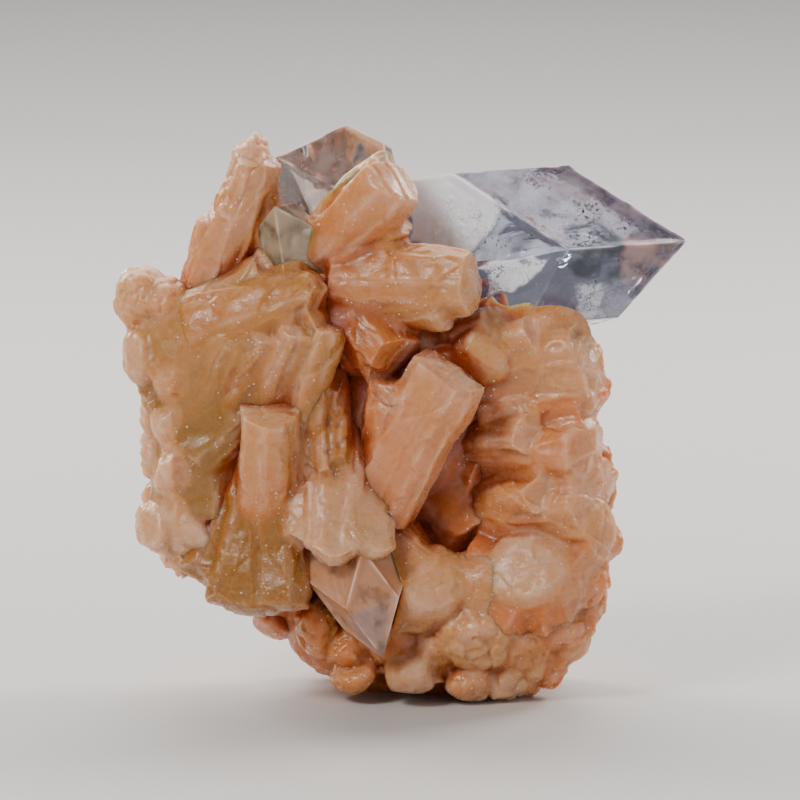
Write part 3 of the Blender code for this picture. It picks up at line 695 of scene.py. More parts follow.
# the lobe at the middle, the lower knobs and those that the specimen rests on
lowerKnobs = {
    "blades": (
        ("lobe", (-0.1, 0.3, 0.95), (
            ((-7.0, 22.6, 2.0), (2.8, 11.4, 7.4), 8.8, 7.5, 0.15, 0.3),
        )),
        ("lobe", (-0.2, 0.1, 0.97), (
            ((-3.0, 19.0, 1.0), (4.2, 7.6, 8.0), 9.0, 7.5, 0.2, 0.3),
        )),
    ),
    "knobs": (
        ((3.0, 11.8, 6.0), (10.5, 10.0, 9.6), "dome"),
        ((8.9, 12.4, 6.0), (9.0, 9.0, 8.4), "lobe"),
        ((8.6, 7.6, 5.8), (9.0, 9.0, 7.8), "rim"),
        ((12.6, 6.8, 4.6), (8.6, 8.4, 7.6), "foot"),
        ((17.4, 8.8, 4.4), (8.4, 8.4, 7.8), "foot"),
        ((1.4, 3.0, 6.6), (6.2, 7.5, 6.6), "ball"),
        ((-4.8, 2.9, 4.0), (6.6, 8.0, 5.0), "knob"),
        ((7.4, 2.0, 5.0), (5.6, 7.0, 5.4), "knob"),
        ((11.2, 2.4, 3.4), (6.6, 8.0, 5.6), "rim"),
        ((-8.6, 8.2, 3.5), (5.6, 8.0, 8.4), "foot"),
        ((-1.0, 7.2, 4.5), (9.0, 8.0, 6.6), "foot"),
        ((18.6, 6.6, 2.5), (5.6, 8.0, 6.0), "knob"),
        ((16.4, 4.2, 2.0), (5.6, 8.0, 5.6), "foot"),
        ((14.0, 3.0, 1.5), (5.4, 8.0, 5.4), "foot"),
        ((20.6, 10.4, 3.0), (5.4, 8.0, 6.0), "foot"),
        ((-13.3, 8.4, -4.5), (6.6, 8.0, 5.6), "core"),
        ((4.9, 4.4, 3.6), (4.6, 7.0, 6.4), "foot"),
        ((3.6, 5.9, 5.6), (5.6, 6.6, 4.8), "knob"),
        ((-5.6, 5.9, 4.4), (5.2, 7.0, 4.8), "foot"),
        ((-2.4, 5.6, 3.2), (5.4, 7.0, 6.4), "foot"),
        ((14.4, 4.6, 4.0), (5.4, 7.0, 5.4), "knob"),
        ((-6.5, 6.2, -9.5), (7.5, 7.0, 7.5), "foot"),
        ((-2.0, 5.8, -14.5), (7.0, 6.5, 6.5), "foot"),
        ((4.0, 6.4, -15.5), (7.5, 6.5, 8.0), "knob"),
        ((9.6, 6.0, -13.5), (7.0, 7.0, 7.0), "foot"),
        ((14.0, 6.8, -9.0), (7.0, 7.5, 8.0), "knob"),
    ),
    "knobSeeds": (200, 1),
}

# what lies behind the front's crystals and inside the hollow
middleMass = {
    "blades": (
        ("core", (-0.3, 0.25, 0.9), (
            ((0.5, 27.5, -1.5), (8.6, 17.2, 3.4), 6.4, 5.0, 0.2, 0.3),
        )),
        ("core", (0.25, -0.1, 0.96), (
            ((3.0, 29.0, -1.5), (9.8, 23.6, 3.6), 5.0, 5.0, 0.2, 0.3),
        )),
    ),
    "knobs": (
        ((-17.5, 32.0, -2.0), (20.0, 16.0, 26.0), "flank"),
        ((-13.0, 20.0, -2.0), (18.0, 16.0, 22.0), "flank"),
        ((-3.0, 40.0, -4.0), (20.0, 14.0, 20.0), "core"),
        ((12.0, 34.0, -3.0), (20.0, 14.0, 18.0), "flank"),
        ((15.5, 22.0, -3.5), (17.0, 15.0, 20.0), "flank"),
        ((4.0, 24.0, -10.0), (22.0, 13.0, 26.0), "flank"),
        ((8.0, 9.0, -2.0), (22.0, 16.0, 14.0), "flank"),
        ((-4.0, 10.0, -3.0), (18.0, 16.0, 16.0), "flank"),
        ((2.0, 5.0, -7.0), (22.0, 18.0, 12.0), "flank"),
        ((-5.0, 17.5, 2.5), (10.0, 10.0, 12.0), "core"),
        ((-8.0, 27.0, 0.0), (8.0, 10.0, 18.0), "core"),
        ((5.5, 17.0, -1.5), (10.0, 10.0, 8.0), "core"),
        ((2.4, 39.0, 1.0), (9.0, 8.0, 7.0), "core"),
    ),
    "knobSeeds": (300, 1),
}

# what the top and the grey crystal stand on, seen from the back alone
crystalRoots = {
    "knobs": (
        ((-6.0, 46.5, -5.5), (13.0, 12.0, 14.0), "back"),
        ((-0.5, 45.5, -12.0), (14.0, 13.0, 16.0), "back"),
    ),
    "knobSeeds": (31, 1),
    "sheaves": (
        ((-3.0, 40.0, -7.0), (-9.0, 52.5, -9.0), (-0.5, 0.2, -0.8), 8.0),
        ((-1.0, 40.0, -9.0), (-2.0, 54.0, -14.0), (-0.3, 0.2, -0.9), 8.0),
        ((3.0, 38.0, -10.0), (6.5, 49.0, -20.0), (0.1, 0.4, -0.9), 8.0),
    ),
    "sheafSeed": 33,
    "fan": {"thick": 6.0, "count": 3, "spread": 40.0, "finish": "back", "layers": 2, "bow": 24.0},
}

# the lump that everything grows out of
heart = {"middle": (-1.1, 29.5, -3.0), "size": (24.0, 18.0, 26.0), "seed": 1, "finish": "core"}

# sheaves that radiate from the heart to the sides and the back, inside the front view's outline
backSheaves = {
    # mm from the heart to the outline, in sixteen directions from the right round by the top
    "outline": (
        22.5, 24.0, 19.0, 20.0, 20.0, 22.0, 24.5, 27.0, 26.5, 27.0, 25.0, 23.0, 28.0, 29.5, 27.0, 24.5,
    ),
    "rings": ((8, 26.0), (6, 52.0), (3, 78.0)),  # sheaves to a ring, and degrees that they lean back
    "reach": 0.92,  # of the way to the outline
    "lowest": 3.0,  # mm up
    "depth": 19.0,  # mm behind the heart
    "root": 0.35,  # of the way out, where a sheaf begins
    "seed": 41,
    "sheafSeed": 50,
    "fan": {
        "width": 8.0, "thick": 6.0, "count": 3, "spread": 46.0, "finish": "back", "layers": 2, "bow": 26.0,
    },
}

# short sheaves over both flanks, between the front's crystals and the back's
flankSheaves = {
    # for each flank how far across its sheaves begin and end, and how far up they stand
    "flanks": (
        (14.0, 21.4, (11.0, 16.5, 22.0, 27.5, 33.0)),
        (-16.0, -27.6, (22.0, 27.5, 33.0, 38.5)),
    ),
    "depths": (-3.4, -8.6),  # mm forward
    "inwards": 0.12,  # mm that a sheaf ends further in for each mm back
    "seed": 61,
    "sheafSeed": 80,
    "fan": {"width": 5.6, "thick": 7.0, "count": 3, "spread": 46.0, "finish": "back"},
}


def heartKnob():
    return knob(seen(*heart["middle"]), heart["size"], heart["seed"], heart["finish"])


def backCrystals():
    middle, outline = heart["middle"], backSheaves["outline"]
    chance = random.Random(backSheaves["seed"])
    made = []
    for ring, (count, lean) in enumerate(backSheaves["rings"]):
        for place in range(count):
            turn = 2 * math.pi * (place + 0.5 * (ring % 2) + chance.uniform(-0.12, 0.12)) / count
            back = math.radians(lean + chance.uniform(-5, 5))
            share = (turn % (2 * math.pi)) / (2 * math.pi) * len(outline)
            low = int(share)
            edge = outline[low] + (outline[(low + 1) % len(outline)] - outline[low]) * (share - low)
            reach = edge * backSheaves["reach"] * math.cos(back)
            tip = (
                middle[0] + reach * math.cos(turn),
                max(middle[1] + reach * math.sin(turn), backSheaves["lowest"]),
                middle[2] - backSheaves["depth"] * math.sin(back),
            )
            root = [middle[axis] + backSheaves["root"] * (tip[axis] - middle[axis]) for axis in range(3)]
            face = facing(-math.sin(turn), math.cos(turn), chance.uniform(-0.4, 0.4))
            seed = backSheaves["sheafSeed"] + place
            made += sheaf(seen(*root), seen(*tip), face, seed=seed, **backSheaves["fan"])
    return made


def flankCrystals():
    chance = random.Random(flankSheaves["seed"])
    made = []
    for inner, outer, heights in flankSheaves["flanks"]:
        for place, up in enumerate(heights):
            for deep in flankSheaves["depths"]:
                rise, slip = chance.uniform(-1.4, 1.4), chance.uniform(-1.2, 1.2)
                root = seen(inner, up, deep + 1.0)
                tip = seen(outer - flankSheaves["inwards"] * abs(deep), up + rise, deep + slip)
                face = facing(chance.uniform(-0.3, 0.3), chance.uniform(0.2, 1.0), -0.6)
                seed = flankSheaves["sheafSeed"] + place
                made += sheaf(root, tip, face, seed=seed, **flankSheaves["fan"])
    return made


# the clear crystals' planes: tip, way to the tip, way of the first prism face, the four prism faces'
# distances from the axis, length, and extra facets
def clearCrystals():
    topTip, topFront = seen(0.8, 59.3, 7.0), facing(-0.731, -0.325, 0.604)
    innerTip = seen(-12.8, 50.4, 5.6)
    topHalf, airGap = 5.5, 0.4  # the grey crystal ends on the top crystal's back face, with a little air
    against = np.dot(innerTip - topTip, topFront) - topHalf - airGap
    return {
        "apophyllite_point": (
            seen(31.4, 50.2, 2.5), facing(0.911, 0.135, 0.389), facing(-0.399, 0.049, 0.916),
            (8.5, 10.3, 7.5, 7.2), 30.0,
            ((facing(-0.345, -0.205, 0.916), 8.05), (facing(0.30, -0.93, 0.20), 6.4)),
        ),
        "apophyllite_top": (
            topTip, facing(0.55, 0.25, 0.80), topFront,
            (topHalf, 6.0, 2.6, 5.0), 18.0, ((facing(0.96, 0.2, 0.2), -2.6),),
        ),
        "apophyllite_inner": (
            innerTip, facing(-0.25, 0.55, 0.80), facing(0.9, 0.1, 0.3),
            (4.2, 3.8, 4.2, 3.8), 10.0, ((-topFront, against),),
        ),
        "apophyllite_low": (
            seen(-1.9, 4.8, 12.6), facing(0.24, -0.90, 0.36), facing(0.75, 0.25, 0.6),
            (4.2, 4.2, 4.2, 4.2), 14.5, (),
        ),
    }


# mm that each plane of the grey crystal is set out from its solid, to close the gap beside the long blade
innerGrowth = np.array([0.8, 2.6, 0.4, 0.0, 1.0, 2.8, 1.0, 2.8, 0.0, 0.0])
clear = {name: apophyllite(*values) for name, values in clearCrystals().items()}
clear["apophyllite_inner"] = (clear["apophyllite_inner"][0], clear["apophyllite_inner"][1] + innerGrowth)
corners = cornersOf(*clear["apophyllite_point"])
low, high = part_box("apophyllite_point")
shift = (np.array(low) + np.array(high)) / 2 / mm - (corners.min(axis=0) + corners.max(axis=0)) / 2
print("stand shift in mm:", shift.round(3))


# camera, floor and light
stage = {
    "floor": {"half": 3.0, "colour": (0.62, 0.60, 0.58, 1.0), "rough": 0.55},  # half its side in metres
    "lights": {  # place and side in metres, power in watts, colour
        "key": ((-0.40, -0.45, 0.52), 0.22, 3.8, (1.0, 0.97, 0.93)),
        "backLeft": ((-0.35, 0.32, 0.35), 0.20, 2.6, (1.0, 0.96, 0.92)),
        "backRight": ((0.38, 0.30, 0.35), 0.20, 3.0, (1.0, 0.96, 0.92)),
        "fill": ((0.50, -0.50, 0.18), 0.40, 0.9, (0.92, 0.95, 1.0)),
        "behind": ((0.0, 0.75, 0.85), 0.80, 9.0, (1.0, 0.99, 0.97)),
    },
    "room": {"Color": (0.80, 0.84, 0.90, 1.0), "Strength": 0.30},
    "sensor": 36.0,  # mm
}


def setStage():
    scene = bpy.context.scene
    look = Vector(((seen(*view["middle"]) + shift) * mm).tolist())
    away = Vector((0, -math.cos(tilt), math.sin(tilt)))
    camera = bpy.data.cameras.new("camera")
    camera.sensor_width = stage["sensor"]
    camera.lens = stage["sensor"] * view["distance"] / view["width"]
    camera.clip_start, camera.clip_end = 0.05, 20.0
    tripod = bpy.data.objects.new("camera", camera)
    tripod.location = look + away * view["distance"]
    tripod.rotation_euler = (-away).to_track_quat("-Z", "Y").to_euler()
    scene.collection.objects.link(tripod)
    scene.camera = tripod
    half = stage["floor"]["half"]
    points = np.array([(-half, -half, 0), (half, -half, 0), (half, half, 0), (-half, half, 0)])
    floor = objectOf("floor", meshOf("floor", points, np.array([[0, 1, 2, 3]])))
    paint = Paint("pale_floor")
    paint.set("Base Color", stage["floor"]["colour"])
    paint.set("Roughness", stage["floor"]["rough"])
    floor.data.materials.append(paint.material)
    floor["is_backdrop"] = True
    for name, (place, size, power, tone) in stage["lights"].items():
        light = bpy.data.lights.new(name, "AREA")
        light.size, light.energy, light.color = size, power, tone
        lamp = bpy.data.objects.new(name, light)
        lamp.location = place
        lamp.rotation_euler = (look - Vector(place)).to_track_quat("-Z", "Y").to_euler()
        scene.collection.objects.link(lamp)
    world = bpy.data.worlds.new("soft_room")
    scene.world = world
    world.use_nodes = True
    for name, value in stage["room"].items():
        world.node_tree.nodes["Background"].inputs[name].default_value = value


# shader maths
class Socket:
    # a node's output, with which sums, products and differences can be written
    def __init__(self, paint, output):
        self.paint, self.output = paint, output

    def maths(self, operation, *others):
        return self.paint.node("ShaderNodeMath", {"operation": operation}, dict(enumerate((self,) + others)))

    def __add__(self, other):
        return self.maths("ADD", other)

    def __mul__(self, other):
        return self.maths("MULTIPLY", other)

    def __sub__(self, other):
        return self.maths("SUBTRACT", other)

    def __rsub__(self, other):
        return self.paint.node("ShaderNodeMath", {"operation": "SUBTRACT"}, {0: other, 1: self})

    __radd__, __rmul__ = __add__, __mul__


class Paint:
    def __init__(self, name):
        self.material = bpy.data.materials.new(name)
        self.material.use_nodes = True
        self.tree = self.material.node_tree
        self.shader = self.tree.nodes["Principled BSDF"]
        self.final = self.tree.nodes["Material Output"]

    def node(self, kind, settings=None, inputs=None, output=0):
        made = self.tree.nodes.new(kind)
        for name, value in (settings or {}).items():
            setattr(made, name, value)
        for name, value in (inputs or {}).items():
            self.feed(made.inputs[name], value)
        return Socket(self, made.outputs[output])

    def feed(self, entry, value):
        if isinstance(value, Socket):
            self.tree.links.new(value.output, entry)
        else:
            entry.default_value = value

    def set(self, name, value):
        self.feed(self.shader.inputs[name], value)

    def attribute(self, name, output="Fac"):
        return self.node("ShaderNodeAttribute", {"attribute_name": name}, output=output)

    def place(self):
        return self.node("ShaderNodeTexCoord", output="Object")

    def noise(self, vector, scale, detail=2.0, roughness=0.5):
        inputs = {"Vector": vector, "Scale": scale, "Detail": detail, "Roughness": roughness}
        return self.node("ShaderNodeTexNoise", inputs=inputs)

    def between(self, value, low, high, first=0.0, last=1.0):
        inputs = {"Value": value, "From Min": low, "From Max": high, "To Min": first, "To Max": last}
        return self.node("ShaderNodeMapRange", {"interpolation_type": "SMOOTHSTEP"}, inputs)

    def mix(self, factor, first, second):
        return self.node("ShaderNodeMix", {"data_type": "RGBA"}, {0: factor, 6: first, 7: second}, output=2)


def colour(red, green, blue):
    return (red, green, blue, 1.0)


# tones, how far red, green and blue light spreads inside, and that spread in metres
stilbiteLook = {
    "cream": colour(0.60, 0.28, 0.062),
    "orange": colour(0.64, 0.165, 0.022),
    "milk": colour(0.68, 0.40, 0.235),
    "olive": colour(0.27, 0.13, 0.015),
    # painted shade: the deep orange laid into hollows
    "deep": colour(0.34, 0.05, 0.002),
    # painted highlight: the pale pink-white laid along the crests
    "crest": colour(0.80, 0.54, 0.39),
    "scatter": (1.0, 0.58, 0.34),
    "scatterDepth": 0.0026,
}


def stilbitePaint(name, look):
    # cream to orange by blush + clouds, then olive, then milky by milk x clouds + mottle, then a painted
    # shade of deep orange where it is hollow and a painted highlight, pale, along the crests; fine lines run
    # along each crystal, and a few small facets are smooth
    paint = Paint(name)
    where = paint.place()
    clouds = paint.noise(where, 260.0, 3.0)
    mottle = paint.noise(where, 1100.0, 2.0)
    blush = paint.attribute("blush") + (clouds - 0.5) * 0.9
    milk = paint.attribute("milk") * (clouds + 0.5) + (mottle - 0.5) * 0.3
    base = paint.mix(paint.between(blush, 0.0, 1.0), look["cream"], look["orange"])
    base = paint.mix(paint.attribute("olive"), base, look["olive"])
    base = paint.mix(paint.between(milk, 0.1, 1.1, 0.0, 0.9), base, look["milk"])
    # painted shade: deeper orange where the hollow field says a place is enclosed
    hollow = paint.between(paint.attribute("hollow"), 0.34, 0.72)
    base = paint.mix(hollow, base, look["deep"])
    # painted highlight: paler along the crests
    crest = paint.attribute("crest") * paint.between(clouds, 0.3, 0.7)
    base = paint.mix(crest * 0.5, base, look["crest"])
    paint.set("Base Color", base)
    paint.set("Subsurface Weight", 1.0)
    paint.set("Subsurface Radius", look["scatter"])
    paint.set("Subsurface Scale", look["scatterDepth"])
    paint.set("IOR", 1.50)
    flecks = paint.node("ShaderNodeTexVoronoi", inputs={"Vector": where, "Scale": 3600.0}, output="Color")
    chance = paint.node("ShaderNodeSeparateColor", inputs={"Color": flecks}, output="Red")
    sparkling = paint.between(chance, 0.87, 0.89)
    paint.set("Roughness", paint.between(mottle, 0.3, 0.7, 0.22, 0.42) * (1.0 - sparkling * 0.6))
    fine = paint.noise(where, 5200.0, 2.0)
    grown = paint.attribute("grown", "Vector")
    stria = paint.node("ShaderNodeVectorMath", {"operation": "MULTIPLY"}, {0: grown, 1: (2.2, 2.2, 0.12)})
    lines = paint.noise(stria, 2.2, 3.0)
    height = fine * 0.6 + lines * 0.5 + mottle * 0.4
    bump = {"Strength": 0.28, "Distance": 0.00022, "Height": height}
    paint.set("Normal", paint.node("ShaderNodeBump", inputs=bump))
    return paint.material


def clearPaint(name, look):
    # clear crystal, mixed towards a dull milky one by haze x clouds + etching x scratches + whitish edges;
    # the milky colour goes from lilac white to the crystal's own warm tone, to a painted shade where the
    # shade field is set, and to a whitish tone, partly painted sheen, on etched patches and edges
    paint = Paint(name)
    where = paint.place()
    clouds = paint.noise(where, 330.0, 3.0)
    scratches = paint.noise(where, 1500.0, 4.0, 0.7)
    etched, haze = paint.attribute("etched"), paint.attribute("haze")
    warm, shade, edge = paint.attribute("warm"), paint.attribute("shade"), paint.attribute("edge")
    milky = paint.mix(warm, look["frost"], look["warm"])
    # painted shade: darker where the crystal looked dark right through
    milky = paint.mix(shade * paint.between(clouds, 0.35, 0.6), milky, look["paintedShade"])
    # whitish on etched patches and along the edges: their frost, painted brighter as a painted sheen of the
    # light they catch
    milky = paint.mix(paint.between(etched + edge * 0.7, 0.0, 1.0), milky, look["worn"])
    bent = paint.node("ShaderNodeTexNoise", inputs={"Vector": where, "Scale": 700.0}, output="Color")
    bent = paint.node("ShaderNodeVectorMath", {"operation": "SCALE"}, {0: bent, "Scale": 0.0014})
    bent = paint.node("ShaderNodeVectorMath", {"operation": "ADD"}, {0: where, 1: bent})
    curve = (paint.noise(bent, 1050.0, 1.0) - 0.5).maths("ABSOLUTE")
    cross = (paint.noise(bent, 1700.0, 1.0) - 0.5).maths("ABSOLUTE")
    broken = paint.between(paint.noise(where, 620.0, 1.0), 0.42, 0.50)
    lines = 1.0 - paint.between(curve, 0.014, 0.050) * paint.between(cross, 0.012, 0.040)
    flakes = 1.0 - lines * broken * 0.9
    flakes = flakes * paint.between(scratches, 0.38, 0.50, 0.45, 1.0)
    cover = haze * paint.between(clouds, 0.3, 0.7, 0.35, 1.25) + etched * flakes + edge * look["edge"]
    height = scratches * etched + paint.noise(where, 900.0, 2.0) * 0.12
    bump = paint.node("ShaderNodeBump", inputs={"Strength": 0.5, "Distance": 0.00012, "Height": height})
    paint.set("Base Color", look["tint"])
    paint.set("Transmission Weight", 1.0)
    paint.set("Roughness", look["rough"])
    paint.set("IOR", 1.535)
    paint.set("Normal", bump)
    inputs = {
        "Base Color": milky, "Roughness": 0.38, "IOR": 1.535, "Normal": bump, "Subsurface Weight": 0.5,
        "Subsurface Radius": (1.0, 0.8, 0.8), "Subsurface Scale": 0.0015,
    }
    dull = paint.node("ShaderNodeBsdfPrincipled", inputs=inputs)
    bright = Socket(paint, paint.shader.outputs[0])
    parts = {0: paint.between(cover, 0.0, 1.0), 1: bright, 2: dull}
    both = paint.node("ShaderNodeMixShader", inputs=parts)
    paint.tree.links.new(both.output, paint.final.inputs["Surface"])
    return paint.material


# what the stilbite's own form adds to its tones
stilbiteTones = {
    "root": 0.20,  # blush towards a blade's root
    "tip": 0.30,  # milk at a blade's tip
    "seat": 0.5,  # blush beside a clear crystal
}


def writeField(mesh, label, values):
    mesh.attributes.new(label, "FLOAT", "POINT").data.foreach_set("value", values.astype(np.float32))


def growPiece(name, crystals, voxel, field, material):
    # the crystals' surfaces are run together by a voxel remesh, cut by the clear crystals' seats, set back on
    # their exact faces and given their relief
    form, tones = stilbiteSurface, stilbiteTones
    points, faces, start = [], [], 0
    for crystal in crystals:
        more, corners = crystalSurface(crystal)
        points.append(more)
        faces.append(corners + start)
        start += len(more)
    piece = objectOf(name, meshOf(name, np.concatenate(points), np.concatenate(faces)))
    remesh = piece.modifiers.new("fuse", "REMESH")
    remesh.mode, remesh.voxel_size, remesh.adaptivity = "VOXEL", voxel, 0.0
    workedOut(piece)
    middles = np.array([crystal["middle"] for crystal in crystals])
    reach = np.array([crystal["radius"] for crystal in crystals])
    for seat in seats:
        middle = np.array(seat.bound_box).mean(axis=0)
        size = np.linalg.norm(np.array(seat.bound_box)[6] - middle)
        if np.min(np.linalg.norm(middles - middle, axis=1) - reach) > size:
            continue
        cut = piece.modifiers.new(seat.name, "BOOLEAN")
        cut.operation, cut.solver, cut.object = "DIFFERENCE", "MANIFOLD", seat
    mesh = workedOut(piece)
    points = pointsOf(mesh)
    coarse = [noise(points, form["warpSize"], 51 + axis) for axis in range(3)]
    fine = [noise(points, form["fineWarpSize"], 54 + axis) for axis in range(3)]
    warp = np.stack(coarse, axis=1) * form["warp"] + np.stack(fine, axis=1) * form["warp"] * form["fineWarp"]
    for _ in range(3):
        distance, outward, owner, gap, ridge, finish = owners(crystals, points + warp)
        points -= outward * (np.clip(distance, -form["pull"], form["pull"]) * keepClear(points))[:, None]
    relief, local = reliefOf(crystals, owner, points, ridge)
    relief *= smooth(-0.1, 0.5, gap) * (1 - form["seamRelief"]) + form["seamRelief"]
    points += outward * (relief * keepClear(points))[:, None]
    points[:, 2] = np.maximum(points[:, 2], -shift[2])
    mesh.vertices.foreach_set("co", ((points + shift) * mm).astype(np.float32).ravel())
    mesh.update()
    normals = normalsOf(mesh)
    # how enclosed each point is, which sets the painted shade in its hollows
    looks, shares = hollows["looks"], hollows["shares"]
    near, wide = [sampled(field, which, points + normals * looks[which]) for which in range(2)]
    hollow = near * shares[0] + wide * shares[1]
    # nearness to a crystal's edge, which sets the painted highlight along the crests
    crest = np.exp(-ridge / form["crest"]) * smooth(0.1, 0.5, gap)
    lengths = np.array([2 * crystal["half"][2] for crystal in crystals])[owner]
    blades = np.array([crystal["egg"] is None for crystal in crystals])[owner]
    share = local[:, 2] / lengths
    finish[:, 0] += blades * tones["root"] * (1 - smooth(0.2, 0.8, share))
    finish[:, 1] += blades * tones["tip"] * smooth(0.75, 1.0, share)
    beside = 1 - keepClear(points)
    finish[:, 0] += tones["seat"] * beside
    finish[:, 1:3] *= 1 - beside[:, None]
    fields = {"blush": finish[:, 0], "milk": finish[:, 1], "olive": finish[:, 2]}
    for label, values in {**fields, "hollow": hollow, "crest": crest}.items():
        writeField(mesh, label, values)
    shown.append((points, normals, crest, hollow))
    seeds = np.array([crystal["seed"] for crystal in crystals])[owner]
    grown = (local + (seeds * 1.3)[:, None]).astype(np.float32)
    mesh.attributes.new("grown", "FLOAT_VECTOR", "POINT").data.foreach_set("vector", grown.ravel())
    mesh.polygons.foreach_set("use_smooth", np.ones(len(mesh.polygons), bool))
    mesh.materials.clear()
    mesh.materials.append(material)
    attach(piece, "root")
    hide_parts("stilbite_cluster")
    triangles = sum(len(polygon.vertices) - 2 for polygon in mesh.polygons)
    print(name, "has", triangles, "triangles")


def flattened(points):
    # across and up in the front view
    return np.stack([points[:, 0], points[:, 2] * math.cos(tilt) + points[:, 1] * math.sin(tilt)], axis=1)


def within(spots, outline, soft):
    # 1 inside a patch whose corners run clockwise in the front view, fading to 0 over twice soft
    share = np.ones(len(spots))
    for first, last in zip(outline, outline[1:] + outline[:1]):
        inwards = np.array([last[1] - first[1], first[0] - last[0]])
        share = np.minimum(share, smooth(-soft, soft, (spots - first) @ inwards / np.linalg.norm(inwards)))
    return share


def faceGrid(normal, reach, corners, spacing):
    # P(s, t) = c + t (outline(s) - c), where outline runs round the face's corners and c is its middle
    on = corners[np.abs(corners @ normal - reach) < 1e-3]
    middle = on.mean(axis=0)
    across = unit(on[0] - middle)
    turn = np.arctan2((on - middle) @ np.cross(normal, across), (on - middle) @ across)
    on = on[np.argsort(turn)]
    sides = []
    for first, last in zip(on, np.roll(on, -1, axis=0)):
        count = math.ceil(np.linalg.norm(last - first) / spacing)
        sides.append(first + (last - first) * (np.arange(count) / count)[:, None])
    outline = np.concatenate(sides)
    rings = max(2, math.ceil(np.linalg.norm(outline - middle, axis=1).max() / spacing))
    share = ((np.arange(rings) + 1) / rings)[:, None, None]
    points = np.concatenate([(middle + (outline - middle) * share).reshape(-1, 3), [middle]])
    here = np.arange(rings * len(outline)).reshape(rings, -1)
    right = np.roll(here, -1, axis=1)
    a, b, c, d = here[:-1], here[1:], right[1:], right[:-1]
    faces = [np.stack([a, b, c], -1).reshape(-1, 3), np.stack([a, c, d], -1).reshape(-1, 3),
             np.stack([np.full(len(outline), len(points) - 1), here[0], right[0]], -1)]
    return points, np.concatenate(faces)


clearSurface = {
    "ragged": 0.55,  # mm that the rim of a patch wanders
    "farEtching": 0.6,  # strength of the etched patches on faces turned away from the front
    "levels": (-0.45, -0.2, 0.0, 0.2, 0.4),  # of the noise, where growth steps lie
    "pits": (0.05, 0.03),  # mm deep, coarse and fine
    "margin": 0.9,  # mm over which the relief fades out towards an edge
    # width of the whitish edges, partly painted sheen
    "worn": 0.16,  # mm wide edges
    "crease": 14.0,  # degrees, past which two faces meet sharply
}


def growClear(name, planes, look):
    # every face of the clear crystal as a fine grid, set back by growth steps, waves, ridges and etched pits
    # that fade out towards its edges
    normals, reach = planes
    corners = np.unique(cornersOf(normals, reach).round(5), axis=0)
    points, faces, owner, start = [], [], [], 0
    for index, (normal, distance) in enumerate(zip(normals, reach)):
        if np.sum(np.abs(corners @ normal - distance) < 1e-3) < 3:
            continue
        more, turns = faceGrid(normal, distance, corners, look["spacing"])
        points.append(more)
        faces.append(turns + start)
        owner.append(np.full(len(more), index))
        start += len(more)
    points, faces, owner = np.concatenate(points), np.concatenate(faces), np.concatenate(owner)
    microns = (points * 1000).round().astype(np.int64)
    _, kept, place = np.unique(microns, axis=0, return_index=True, return_inverse=True)
    points, owner, faces = points[kept], owner[kept], place.ravel()[faces]
    faces = faces[(faces[:, 0] != faces[:, 1]) & (faces[:, 1] != faces[:, 2]) & (faces[:, 2] != faces[:, 0])]
    lean = normals[owner] @ normals.T
    gap = -(points @ normals.T - reach) / np.sqrt(np.maximum(1 - lean * lean, 1e-6))
    gap[np.arange(len(points)), owner] = 99.0
    gap = gap.min(axis=1)
    spots = flattened(points)
    facingUs = normals[owner] @ facing(0, 0, 1) > 0.15
    plain = {"etched": 0.0, "haze": look["haze"], "warm": look["blush"], "shade": 0.0}
    fields = {label: np.full(len(points), value) for label, value in plain.items()}
    stray = np.stack([noise(points, 1.1, 31), noise(points, 1.1, 32)], axis=1)
    ragged = spots + stray * clearSurface["ragged"]
    for outline, values in look["patches"]:
        share = within(ragged, outline, look["soft"]) * facingUs
        for label, value in values.items():
            fields[label] += (value - fields[label]) * share
    behind = smooth(0.25, 0.45, noise(points + owner[:, None] * 13.0, 3.5, 33)) * ~facingUs
    fields["etched"] += behind * clearSurface["farEtching"]
    axis = -normals[-1]
    side = unit(np.cross(axis, (0.3, 0.2, 1.0)))
    local = points @ np.array([side, np.cross(axis, side), axis]).T + owner[:, None] * 17.0
    field = noise(local, (5.0, 5.0, 9.0), 34)
    height = look["wave"] * noise(local, 6.0, 35) + look["stria"] * noise(local, (0.7, 0.7, 6.0), 36)
    for level in clearSurface["levels"]:
        height -= look["step"] * smooth(level - 0.05, level + 0.05, field)
    coarse, fine = clearSurface["pits"]
    height += fields["etched"] * (noise(local, 0.9, 37) * coarse + noise(local, 0.45, 38) * fine)
    points = points + normals[owner] * (height * smooth(0.0, clearSurface["margin"], gap))[:, None]
    # whitish edges, partly painted sheen
    fields["edge"] = np.exp(-gap / clearSurface["worn"]) * smooth(-0.6, 0.5, noise(points, 1.4, 39))
    mesh = meshOf(name + "_crystal", (points + shift) * mm, faces)
    for label, values in fields.items():
        writeField(mesh, label, values)
    mesh.polygons.foreach_set("use_smooth", np.ones(len(mesh.polygons), bool))
    mesh.set_sharp_from_angle(angle=math.radians(clearSurface["crease"]))
    mesh.materials.append(clearPaint(name, look))
    piece = objectOf(name + "_crystal", mesh)
    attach(piece, "root")
    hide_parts(name)
    print(piece.name, "has", len(faces), "triangles")


